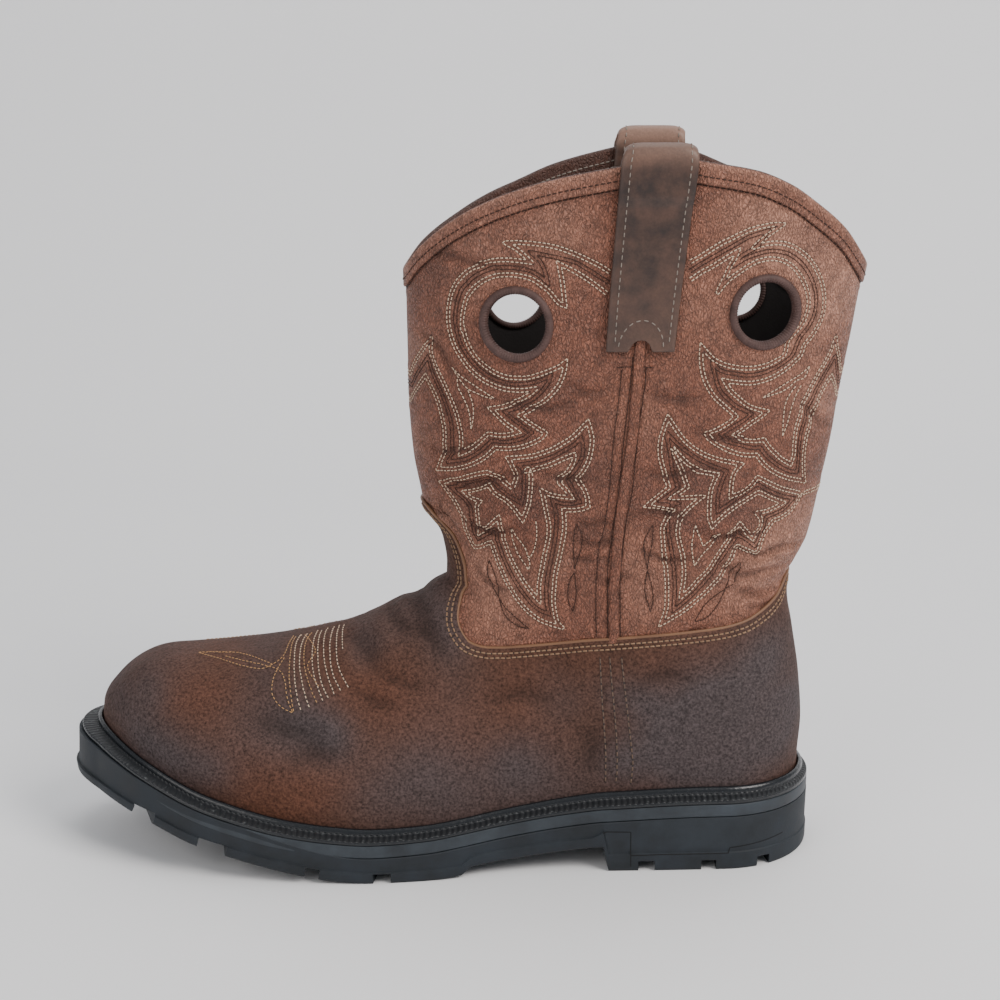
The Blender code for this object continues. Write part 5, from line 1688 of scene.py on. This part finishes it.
def strap_sheet(side, rows, across):
    """Middle sheet of a strap, front to back across it, and its outward normals."""
    peak, path = strap_path(side)
    path = smooth_along(path, rows)
    points = []
    for z, lift in path:
        down = np.clip((peak - z) / STRAP_REACH, 0, 1)
        fold = np.clip((z - peak + 0.001) / 0.006, 0, 1)
        half = (STRAP_WIDTH + (STRAP_FOOT_WIDTH - STRAP_WIDTH) * down) / 2 * (1 - 0.05 * fold)
        height = np.full(across.shape, z)
        if lift > 0:
            near_foot = np.clip(1 - (z - path[0, 0]) / 0.012, 0, 1) ** 2
            arch = np.sqrt(np.clip(1 - (across / 0.33) ** 2, 0, 1))
            height = height + STRAP_NOTCH * arch * near_foot
        share = seam_share(np.minimum(height, peak), side)
        share = share + across * half / (back_line(height) - shaft_front(height))
        near = np.stack([shaft_point(share, height + step, side) for step in (-0.002, 0.0, 0.002)])
        facing = normals(near)[1]
        if facing[len(across) // 2, 1] * side < 0:
            facing = -facing
        points.append(near[1] + facing * lift - np.array([0, 0, 1]) * fold * 0.0022 * across[:, None] ** 6)
    points = np.stack(points)
    out = normals(points)
    if out[rows // 4, len(across) // 2, 1] * side < 0:
        out = -out
    return points, out


def make_straps(finish_of_strap):
    """Straps as closed bands with rounded edges, folded over the collar."""
    made = []
    across = np.sin(np.linspace(-math.pi / 2, math.pi / 2, 27))
    full = STRAP_THICKNESS / 2 * (1 - np.abs(across) ** 14) ** 0.5
    for name, side in SIDES:
        points, out = strap_sheet(side, 150, across)
        top = points + out * full[None, :, None]
        under = points - out * full[None, :, None]
        loops = np.concatenate([top, under[:, ::-1]], axis=1)
        loops = np.concatenate([flat_end(loops[0]), loops, flat_end(loops[-1])])
        # Paler over the fold: rubbed wax on the inner strap, a painted highlight on the outer one; a little
        # wear at the foot
        peak = strap_path(side)[0]
        worn = np.clip((loops[..., 2] - peak + 0.004) / 0.006, 0, 1) * (0.45 if side == LATERAL else 0.95)
        low = np.clip(1 - (loops[..., 2] - loops[..., 2].min()) / 0.045, 0, 1) * 0.14
        marks = {"worn": np.maximum(worn, low)}
        piece = grid_mesh("folded_strap_" + name, loops, finish_of_strap, wrapped=True, marks=marks)
        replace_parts(piece, "pull_strap_" + name)
        made.append(piece)
    return made


def flat_end(loop):
    """Closes a band's end: its upper and lower edges meet in the middle."""
    half = len(loop) // 2
    middle = (loop[:half] + loop[half:][::-1]) / 2
    return np.concatenate([middle, middle[::-1]])[None]


def strap_rows():
    """Stitch rows of the straps: both long edges and an arch over the notch at the foot."""
    rows = []
    for side in (LATERAL, MEDIAL):
        wide, facing = strap_sheet(side, 220, np.linspace(-1, 1, 41))
        wide = wide + facing * (STRAP_THICKNESS / 2)
        for column in (5, 36):
            rows.append(("strap_edge", "ash", side, wide[6:206, column]))
        path = strap_path(side)[1]
        turns = np.linspace(math.pi, 0, 40)
        start, rise, half = 0.0015, 0.0112, 0.0088
        z = path[0, 0] + start + rise * np.sin(turns)
        share = seam_share(z, side) + np.cos(turns) * half / (back_line(z) - shaft_front(z))
        line = shaft_point(share, z, side)
        line = line + skin_normals(line, side) * (path[0, 1] + STRAP_THICKNESS / 2)
        rows.append(("strap_arch", "ash", side, line))
    return rows


def make_rings(finish_of_ring):
    """Bound edges of the pull holes: thread wound closely round the leather's edge."""
    threads = 76
    columns = threads * 4
    for name, side, centre, out in hole_frames():
        across = Vector((1, 0, 0)) - out * out.x
        across.normalize()
        upward = out.cross(across)
        start = HOLE_RADIUS - RING_WIDTH * 0.12
        profile = [
            (start + RING_WIDTH * 0.94, -0.0004),
            (start + RING_WIDTH * 0.88, 0.0004),
            (start + RING_WIDTH * 0.70, RING_LIFT),
            (start + RING_WIDTH * 0.45, RING_LIFT * 1.3),
            (start + RING_WIDTH * 0.18, RING_LIFT * 1.15),
            (start - RING_WIDTH * 0.02, RING_LIFT * 0.5),
            (start - RING_WIDTH * 0.12, -0.0005),
            (start - RING_WIDTH * 0.12, -WALL - 0.0002),
            (start + RING_WIDTH * 0.10, -WALL - 0.0008),
            (start + RING_WIDTH * 0.60, -WALL - 0.0006),
            (start + RING_WIDTH * 0.62, -WALL),
        ]
        turns = np.linspace(0, 2 * math.pi, columns, endpoint=False)
        ridge = 0.00012 * np.cos(turns * threads)
        centre = np.array(centre)
        ways = np.outer(np.cos(turns), np.array(across)) + np.outer(np.sin(turns), np.array(upward))
        loops = []
        for radius, lift in profile:
            line = centre + ways * radius
            line[:, 1] = surface_y(line[:, 0], line[:, 2], side)
            loops.append(line + np.array(out) * (lift + 0.0003 + ridge[:, None]) - ways * ridge[:, None])
        piece = grid_mesh("wound_ring_" + name, np.stack(loops), finish_of_ring, wrapped=True)
        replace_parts(piece, "pull_hole_ring_" + name)


def make_painted_shadow_ribbons(name, rows, trees, kind, width, node):
    """Painted shadow: narrow dark ribbons laid on a surface along each row, for the shade in the grooves of
    stitches and of moulded lines.
    """
    shape = bmesh.new()
    for _, _, _, line in rows:
        run = run_along(line)
        if run[-1] < SHORTEST_ROW:
            continue
        wanted = np.linspace(0, run[-1], max(3, int(run[-1] / SHADOW_RIBBON_STEP)))
        even = np.stack([np.interp(wanted, run, line[:, axis]) for axis in range(3)], axis=-1)
        found = [on_leather(Vector(point), trees) for point in even]
        found = [pair for pair in found if pair[0] is not None]
        if len(found) < 3:
            continue
        spots = np.array([place for place, _ in found])
        out = np.array([way for _, way in found])
        across = unit(np.cross(out, np.gradient(spots, axis=0)))
        lifted = spots + out * SHADOW_RIBBON_LIFT
        grid_shape(np.stack([lifted - across * width / 2, lifted + across * width / 2]), False, shape)
    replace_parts(settled(name, shape, kind), node)


# Sole


def sole_span():
    """Length of the outsole's top edge."""
    return LAST_LENGTH + HEEL_PROJECTION + TOE_PROJECTION


def turn_at(mark):
    """Place along the outline that lies at a station of the last."""
    return (mark * LAST_LENGTH + HEEL_PROJECTION) / sole_span()


def edge_out(share, toe_setback=0.0):
    """An edge of the sole that stands out by a share of the welt's full projection."""
    return {
        "side": FORE_PROJECTION * share,
        "heel": HEEL_PROJECTION * share,
        "toe": TOE_PROJECTION * share - toe_setback,
        "even": False,
    }


def edge_by(distance):
    """An edge at one distance from the leather form all round; less than 0 lies inside it."""
    heel_line = float(back_line(lip_top(0.0)))
    return {"side": distance, "heel": heel_line + distance, "toe": distance, "even": True}


def outline(turns, edge):
    """X, lateral Y and medial Y along an edge of the sole.

    All outlines share their stations, except close to the heel's and the toe's ends.
    """
    heel_end_x = edge["heel"]
    toe_end_x = -LAST_LENGTH - edge["toe"]
    x = HEEL_PROJECTION - turns * sole_span()
    x = x + (heel_end_x - HEEL_PROJECTION) * np.clip(1 - turns / 0.15, 0, 1) ** 2
    x = x + (toe_end_x + LAST_LENGTH + TOE_PROJECTION) * np.clip(turns / 0.2 - 4, 0, 1) ** 2
    spread = 1.0 if edge["even"] else read(PROJECTION, "station", "side", station(x))
    heel_end = rounded(heel_end_x - x, HEEL_CAP + heel_end_x, HEEL_POWER)
    toe_end = rounded(x - toe_end_x, TOE_CAP + edge["toe"], TOE_POWER)
    half = (last_half(x) + edge["side"] * spread) * heel_end * toe_end
    return x, last_centre(x) - half, last_centre(x) + half


def sole_turns(count, marks=()):
    """Places along the outline, from heel to toe, with the marks among them."""
    turns = even_turns(count)
    for mark in marks:
        turns = turns[np.abs(turns - mark) > 0.006]
    return np.sort(np.concatenate([turns, marks]))


def outline_sides(turns, edge, height):
    """The outline's lateral and medial points, at a height given by x."""
    x, low_y, high_y = outline(turns, edge)
    return tuple(np.stack([x, y, height(x)], axis=-1) for y in (low_y, high_y))


def rubber_piece(name, shape, kind, node):
    """Merges a rubber shape, turns it outwards and puts it in its node's place."""
    bmesh.ops.remove_doubles(shape, verts=shape.verts, dist=1e-6)
    bmesh.ops.recalc_face_normals(shape, faces=shape.faces)
    piece = settled(name, shape, kind, 35)
    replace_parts(piece, node)
    return piece


def grid_shape(points, closed=True, shape=None):
    """A bmesh grid whose vertices are laid on rows of points; closed joins each row to its own start."""
    points = points + SHIFT
    if closed:
        points = np.concatenate([points, points[:, :1]], axis=1)
    rows, columns = points.shape[:2]
    shape = shape or bmesh.new()
    made = bmesh.ops.create_grid(shape, x_segments=columns - 1, y_segments=rows - 1, size=1.0)
    order = sorted(made["verts"], key=lambda v: (round(v.co.y, 5), round(v.co.x, 5)))
    for vertex, point in zip(order, points.reshape(-1, 3)):
        vertex.co = Vector(point)
    return shape


def plate_shape(levels, turns):
    """A solid between heel and toe whose section has the given levels, each an edge and a height."""
    lateral, medial = zip(*(outline_sides(turns, edge, height) for edge, height in levels))
    return grid_shape(np.stack(lateral + medial[::-1], axis=1))


def lug_line(x):
    """Height of the lugs' roots, deeper under the heel."""
    heel = np.clip((0.30 - station(x)) * 50, 0, 1)
    return sole_under(x) + LUG_DEPTH + (HEEL_LUG_DEPTH - LUG_DEPTH) * heel


def wall_top(x):
    """Top of the outsole's wall: at the toe it climbs over the band, up to the welt."""
    over = np.clip((-0.186 - x) / 0.054, 0, 1)
    return sole_seat(x) + (midsole_top(x) - sole_seat(x)) * over**2 * (3 - 2 * over)


def make_outsole(kind):
    """The lugged unit: a stepped wall from tread to welt, its grooves cut from below."""
    marks = [turn_at(SOLE["station"][row]) for row in (2, 3, 6, 7)]
    turns = sole_turns(150, marks)
    step_share = SIDE_STEP / FORE_PROJECTION
    low = SIDE_STEP * 3
    levels = [
        (edge_out(0.90), sole_under),
        (edge_out(0.94), lambda x: sole_under(x) + low * 0.12),
        (edge_out(0.985, -TOE_FLARE), lambda x: sole_under(x) + low * 0.5),
        (edge_out(1.00, -TOE_FLARE), lambda x: sole_under(x) + low),
        (edge_out(1.02, -TOE_FLARE), lambda x: lug_line(x) - SIDE_STEP * 0.3),
        (edge_out(1.015, -TOE_FLARE), lug_line),
        (edge_out(1.02 - step_share, -TOE_FLARE), lambda x: lug_line(x) + SIDE_STEP * 0.6),
        (edge_out(1.01 - step_share, -TOE_FLARE), lambda x: lug_line(x) + SIDE_STEP * 1.5),
        (edge_out(0.995, WELT_TOE_SETBACK * 0.4), lambda x: wall_top(x) - SIDE_STEP * 0.5),
        (edge_out(0.97, WELT_TOE_SETBACK * 0.6), wall_top),
    ]
    made = rubber_piece("lugged_outsole", plate_shape(levels, turns), kind, "outsole")
    for cutter in (make_notch_cutter(), make_channel_cutter()):
        step = made.modifiers.new("cut", "BOOLEAN")
        step.operation = "DIFFERENCE"
        step.solver = "EXACT"
        step.object = cutter
        with bpy.context.temp_override(object=made, active_object=made, selected_objects=[made]):
            bpy.ops.object.modifier_apply(modifier="cut")
        bpy.data.objects.remove(cutter, do_unlink=True)
    made.data.shade_smooth()
    made.data.set_sharp_from_angle(angle=math.radians(32))
    return made


# Lines moulded in the heel's side, drawn for the medial side: one over its edge, two round a panel
HEEL_LINES = (
    ((-0.0739, 0.046, 0.0072), (-0.0334, 0.046, 0.0094), (-0.0060, 0.034, 0.0120)),
    ((-0.0740, 0.046, 0.0020), (-0.0741, 0.046, 0.0175)),
    ((-0.0741, 0.046, 0.0175), (-0.0850, 0.046, 0.0178)),
)


def cutter_object(name, shape):
    """A shape that is taken out of the outsole and then removed."""
    bmesh.ops.recalc_face_normals(shape, faces=shape.faces)
    return placed(name, mesh_of(name, shape))


def notch_box(shape, x, y, length, width, depth, turn):
    """A box that cuts a groove from below at a place of the sole."""
    slope = float(sole_under(x + width / 2) - sole_under(x - width / 2)) / width
    below = depth * 2
    size = Matrix.Diagonal((width, length, depth + below, 1))
    tilt = Matrix.Rotation(-math.atan(slope), 4, "Y")
    spin = Matrix.Rotation(math.radians(turn), 4, "Z")
    centre = Matrix.Translation((x, y, float(sole_under(x)) + depth - (depth + below) / 2))
    place = Matrix.Translation(Vector(SHIFT)) @ centre @ spin @ tilt @ size
    bmesh.ops.create_cube(shape, size=1.0, matrix=place)


def edge_at(x):
    """Lateral and medial edges of the outsole at one x."""
    turns = np.linspace(0, 1, 400)
    along, low_y, high_y = outline(turns, edge_out(1.02, -TOE_FLARE))
    return float(np.interp(-x, -along, low_y)), float(np.interp(-x, -along, high_y))


def make_notch_cutter():
    """Grooves between the lugs along both edges, and bars across the tread's middle."""
    shape = bmesh.new()
    for rows, depth in ((FORE_NOTCHES, LUG_DEPTH), (HEEL_NOTCHES, HEEL_LUG_DEPTH * 0.6)):
        for at, width, turn in rows:
            x = -at * LAST_LENGTH
            low_y, high_y = edge_at(x)
            inward = BALL_WIDTH * 0.21
            for edge, side in ((low_y, LATERAL), (high_y, MEDIAL)):
                middle = edge - side * (inward / 2 - inward * 0.3)
                notch_box(shape, x, middle, inward * 1.6, width * LUG_DEPTH, depth, turn * -side)
    for at, width in CENTRE_BARS:
        x = -at * LAST_LENGTH
        notch_box(shape, x, float(last_centre(x)), BALL_WIDTH * 0.30, width * LUG_DEPTH, LUG_DEPTH * 0.8, 0)
    return cutter_object("notch_cutter", shape)


def make_channel_cutter():
    """Long grooves between the edge lugs and the middle of the tread."""
    shape = bmesh.new()
    width = LUG_DEPTH * 0.9
    for side in (LATERAL, MEDIAL):
        for start, stop, inset in ((0.53, 0.93, 0.27), (0.045, 0.235, 0.22)):
            x = -np.linspace(start, stop, 9) * LAST_LENGTH
            edges = np.array([edge_at(value)[0 if side == LATERAL else 1] for value in x])
            y = edges - side * BALL_WIDTH * inset
            y = np.where((y - last_centre(x)) * side < width, last_centre(x) + side * width, y)
            top = sole_under(x) + LUG_DEPTH * 0.8
            low = sole_under(x) - LUG_DEPTH
            left, right = y - width / 2, y + width / 2
            corners = ((left, low), (right, low), (right, top), (left, top))
            sections = np.stack([np.stack([x, *corner], axis=-1) for corner in corners], axis=1)
            grid_shape(sections, shape=shape)
            bmesh.ops.remove_doubles(shape, verts=shape.verts, dist=1e-6)
            bmesh.ops.holes_fill(shape, edges=[edge for edge in shape.edges if edge.is_boundary], sides=0)
    return cutter_object("channel_cutter", shape)


def make_midsole(kind):
    """The band between outsole and welt, with a small bevel at both edges."""
    turns = sole_turns(150)
    bevel = MIDSOLE_THICKNESS * 0.14
    levels = [
        (edge_out(0.95, WELT_TOE_SETBACK * 0.4), lambda x: sole_seat(x) + CLEARANCE),
        (edge_out(0.975, WELT_TOE_SETBACK * 0.4), lambda x: sole_seat(x) + CLEARANCE + bevel * 0.4),
        (edge_out(0.98, WELT_TOE_SETBACK * 0.4), lambda x: sole_seat(x) + CLEARANCE + bevel),
        (edge_out(0.98, WELT_TOE_SETBACK * 0.6), lambda x: midsole_top(x) - bevel),
        (edge_out(0.975, WELT_TOE_SETBACK * 0.6), lambda x: midsole_top(x) - bevel * 0.4),
        (edge_out(0.95, WELT_TOE_SETBACK * 0.6), midsole_top),
    ]
    rubber_piece("bevelled_band", plate_shape(levels, turns), kind, "midsole")


def make_welt(kind):
    """A ring round the upper: outer edge, sloped knurled top and the bead against the leather."""
    turns = sole_turns(200)
    inner = OVERLAY + CURVED_CLEARANCE * 0.5

    def rise(share):
        return lambda x: midsole_top(x) + CLEARANCE + (lip_top(x) - midsole_top(x)) * share

    profile = [
        (edge_out(0.94, WELT_TOE_SETBACK), rise(0.0)),
        (edge_out(0.97, WELT_TOE_SETBACK), rise(0.02)),
        (edge_out(0.98, WELT_TOE_SETBACK), rise(0.06)),
        (edge_out(0.98, WELT_TOE_SETBACK), rise(0.20)),
        (edge_out(0.97, WELT_TOE_SETBACK), rise(0.25)),
        (edge_out(0.93, WELT_TOE_SETBACK), rise(0.31)),
        (edge_by(inner + LIP_WIDTH * 1.6), rise(0.42)),
        (edge_by(inner + LIP_WIDTH * 1.1), rise(0.44)),
        (edge_by(inner + LIP_WIDTH * 1.08), rise(0.55)),
        (edge_by(inner + LIP_WIDTH * 1.02), rise(0.72)),
        (edge_by(inner + LIP_WIDTH * 0.85), rise(0.86)),
        (edge_by(inner + LIP_WIDTH * 0.6), rise(0.94)),
        (edge_by(inner + LIP_WIDTH * 0.3), rise(0.96)),
        (edge_by(inner + LIP_WIDTH * 0.08), rise(0.90)),
        (edge_by(inner), rise(0.80)),
        (edge_by(inner), rise(0.0)),
    ]
    sides = [outline_sides(turns, edge, height) for edge, height in profile]
    loops = np.stack([np.concatenate([lateral, medial[-2:0:-1]]) for lateral, medial in sides])
    run = np.linalg.norm(np.roll(loops[5], -1, axis=0) - loops[5], axis=1)
    around = np.concatenate([[0], np.cumsum(run)[:-1]])
    knurl = np.zeros(len(profile))
    knurl[5:8] = 1.0
    marks = {
        "around": np.tile(around, (len(profile), 1)),
        "knurl": np.tile(knurl[:, None], (1, len(around))),
    }
    piece = grid_mesh("storm_welt", loops, kind, wrapped=True, tall=True, marks=marks)
    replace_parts(piece, "welt")


def welt_finish():
    """Moulded storm welt: glossy bead, and a top cut by knurls 2.4 mm apart that hold pale dust."""
    made, tree, shader, place = finish("storm_welt_rubber", 0.4, Specular_IOR_Level=0.5)
    around = add(tree, "Attribute", {}, attribute_name="around").outputs["Fac"]
    knurl = add(tree, "Attribute", {}, attribute_name="knurl").outputs["Fac"]
    turn = add(tree, "Math", {0: around, 1: 2 * math.pi / KNURL_PITCH}, operation="MULTIPLY")
    wave = add(tree, "Math", {0: turn}, operation="SINE")
    cut = add(tree, "Math", {0: wave, 1: knurl}, operation="MULTIPLY")
    grit = add(tree, "TexNoise", {"Vector": place, "Scale": 420.0, "Detail": 4.0})
    fleck = add(tree, "MapRange", {"Value": grit, "From Min": 0.62, "From Max": 0.74, "To Max": 0.5})
    shown = add(tree, "Math", {0: fleck, 1: knurl}, operation="MULTIPLY")
    colour = add(tree, "Mix", {0: shown, 6: linear("15181c"), 7: linear("737879")}, **RGB)
    gloss = add(tree, "MapRange", {"Value": knurl, "To Min": 0.27, "To Max": 0.6})
    rough = add(tree, "Math", {0: grit, 1: 0.8, 2: cut}, operation="MULTIPLY_ADD")
    bump = add(tree, "Bump", {"Strength": 0.6, "Distance": 0.0004, "Height": rough})
    plug(tree, shader, {"Base Color": colour, "Roughness": gloss, "Normal": bump})
    return made


# Floor, light and camera

# The sweep of paper: how far it lies out, where it bends up behind the boot, its bend's radius and its top
PAPER_REACH = 1.6
PAPER_BEND = 0.62
PAPER_RADIUS = 0.3
PAPER_TOP = 2.2


def make_studio():
    """A pale sweep of paper under and behind the boot."""
    reach = np.linspace(-PAPER_REACH, PAPER_REACH, 9)
    depth = [-PAPER_REACH, -0.6, 0.2, PAPER_BEND]
    height = [0.0, 0.0, 0.0, 0.0]
    for turn in np.linspace(0, math.pi / 2, 13)[1:]:
        depth.append(PAPER_BEND + PAPER_RADIUS * math.sin(turn))
        height.append(PAPER_RADIUS - PAPER_RADIUS * math.cos(turn))
    depth.append(PAPER_BEND + PAPER_RADIUS)
    height.append(PAPER_TOP)
    points = np.array([[(x, y, z) for x in reach] for y, z in zip(depth, height)])
    shape = grid_shape(points - SHIFT, closed=False)
    mesh = mesh_of("paper_sweep", shape)
    mesh.shade_smooth()
    mesh.materials.append(paper_finish())
    placed("paper_sweep", mesh)


def soft_light(name, place, target, size, power, tint):
    """A square lamp at a place, turned to a target."""
    lamp = bpy.data.lights.new(name, "AREA")
    lamp.shape = "SQUARE"
    lamp.size = size
    lamp.energy = power
    lamp.color = linear(tint)[:3]
    made = placed(name, lamp)
    made.location = place
    made.rotation_euler = (Vector(target) - Vector(place)).to_track_quat("-Z", "Y").to_euler()


def make_light():
    """A window's soft light from the right, a weak fill, a wash on the paper and a pale room."""
    soft_light("window", (1.05, -0.80, 1.25), (0.04, 0.0, 0.12), 0.9, 27.0, "fffaf5")
    soft_light("fill", (-0.9, -1.1, 0.8), (0.0, 0.0, 0.12), 1.0, 8.0, "fffaf5")
    soft_light("back_wash", (0.1, 0.3, 1.7), (0.0, 0.75, 0.4), 0.9, 7.0, "ffffff")
    world = bpy.data.worlds.new("room")
    world.use_nodes = True
    back = world.node_tree.nodes["Background"]
    back.inputs["Color"].default_value = linear("dfe4ea")
    back.inputs["Strength"].default_value = 0.55
    bpy.context.scene.world = world


def make_camera():
    """The camera fitted to the photograph."""
    lens = bpy.data.cameras.new("camera")
    lens.lens = CAMERA_LENS
    lens.sensor_width = 36.0
    made = placed("camera", lens)
    made.location = CAMERA_PLACE
    made.rotation_euler = (math.radians(CAMERA_TILT), 0, 0)
    bpy.context.scene.camera = made


def main():
    """Stage, stitch rows, finishes, pieces and stitches, in that order."""
    make_camera()
    make_studio()
    make_light()

    side_rows = charted_rows(SEAM_ROWS, 0)
    shaft_rows = charted_rows(FLAME_PAIRS, PAIR_HALF_GAP) + charted_rows(LEAVES, 0)
    shaft_rows += [row for row in side_rows if row[1] == "dark"]
    foot_rows = charted_rows(TOE_ROWS, 0) + edge_rows()
    foot_rows += [row for row in side_rows if row[1] == "drab"]
    collar = collar_rows()

    tan = smooth_leather("piping_tan_leather", "5f3f2e", "856042", 0.5, 900.0, 0.4)
    facing = smooth_leather("facing_leather", "3a2d2a", "52423d", 0.55, 1000.0, 0.35)
    lining = smooth_leather("lining_black_leather", "1b1717", "2a2524", 0.6, 1300.0, 0.3)
    ring = thread_finish("ring_waxed_thread", "302220", "604843")
    threads = {
        "pale": thread_finish("flame_pale_thread", "b89a80", "dcc6ae"),
        "dark": thread_finish("flame_brown_thread", "2c1b16", "432a21"),
        "tan": thread_finish("seam_tan_thread", "6b4f3c", "a38468"),
        "gold": thread_finish("toe_gold_thread", "9a7048", "c39a6c"),
        "ash": thread_finish("strap_ash_thread", "6b625b", "968b80"),
        "drab": thread_finish("foot_drab_thread", "4d3d35", "776253"),
    }

    tan_hide = shaft_leather()
    shaft = make_shaft(tan_hide, shaft_rows + collar[2:4], crease_lines(SHAFT_CREASES))
    foot = make_foot(foot_leather_finish(), foot_rows, crease_lines(FOOT_CREASES))
    make_vamp_piping(tan)
    make_side_piping(tan_hide)
    make_lining(facing, lining)
    collar_binding = make_binding(tan_hide)
    straps = make_straps(strap_leather())
    make_rings(ring)
    outsole = make_outsole(rubber_finish("outsole_matt_rubber", "14191e", "262c33", 0.55, 0.75, 0.25))
    # The band's lighter grey than the outsole is painted light, for a face that turns up into the light
    make_midsole(rubber_finish("band_satin_rubber_painted_lighter", "22272c", "373e45", 0.42, 0.6, 0.15))
    make_welt(welt_finish())
    groove = rubber_finish("rubber_in_shadow", "0c0e10", "16181b", 0.8, 0.9, 0.1)
    for name, side in SIDES:
        chosen = [("heel", "line", side, np.array(line) * (1, side, 1)) for line in HEEL_LINES]
        make_painted_shadow_ribbons("heel_lines_" + name, chosen, [tree_of(outsole)], groove, HEEL_LINE_WIDTH, "outsole")
    cover = insole_finish()
    for slot in bpy.data.objects["insole"].material_slots:
        slot.material = cover

    shape = stitch_shape()
    shaft_trees = [tree_of(piece) for piece in shaft]
    foot_trees = [tree_of(piece) for piece in foot]
    groups = (
        ("flame_pale", shaft_rows, "pale", shaft_trees),
        ("flame_brown", shaft_rows, "dark", shaft_trees),
        ("toe_pale", foot_rows, "pale", foot_trees),
        ("toe_gold", foot_rows, "gold", foot_trees),
        ("edge_tan", foot_rows, "tan", foot_trees),
        ("foot_drab", foot_rows, "drab", foot_trees),
    )
    for name, rows, thread, trees in groups:
        for where, side in SIDES:
            chosen = [row for row in rows if row[1] == thread and row[2] == side]
            places = stitch_places(chosen, trees, name)
            piece = repeated("stitches_" + name + "_" + where, shape, places, threads[thread])
            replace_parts(piece, "upper")
    # Painted shadow along the stitch rows: dark ribbons for the shade in their grooves; the foot's take the
    # black lining leather
    painted_groove_shadow = smooth_leather("stitch_painted_shadow", "33201a", "4a2e25", 0.7, 1000.0, 0.2)
    for where, side in SIDES:
        for thread, width in (("pale", PALE_SHADOW_RIBBON), ("dark", DARK_SHADOW_RIBBON)):
            chosen = [row for row in shaft_rows if row[2] == side and row[1] == thread]
            make_painted_shadow_ribbons(thread + "_shadow_ribbons_" + where, chosen, shaft_trees, painted_groove_shadow, width, "upper")
        chosen = [row for row in foot_rows if row[2] == side]
        make_painted_shadow_ribbons("foot_shadow_ribbons_" + where, chosen, foot_trees, lining, FOOT_SHADOW_RIBBON, "upper")
    collar_trees = shaft_trees + [tree_of(collar_binding)]
    for thread in ("dark", "ash"):
        chosen = [row for row in collar if row[1] == thread]
        places = stitch_places(chosen, collar_trees, "collar")
        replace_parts(repeated("stitches_collar_" + thread, shape, places, threads[thread]), "collar_binding")
    for piece, (name, side) in zip(straps, SIDES):
        chosen = [row for row in strap_rows() if row[2] == side]
        places = stitch_places(chosen, [tree_of(piece)], "strap")
        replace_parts(repeated("stitches_strap_" + name, shape, places, threads["ash"]), "pull_strap_" + name)


main()
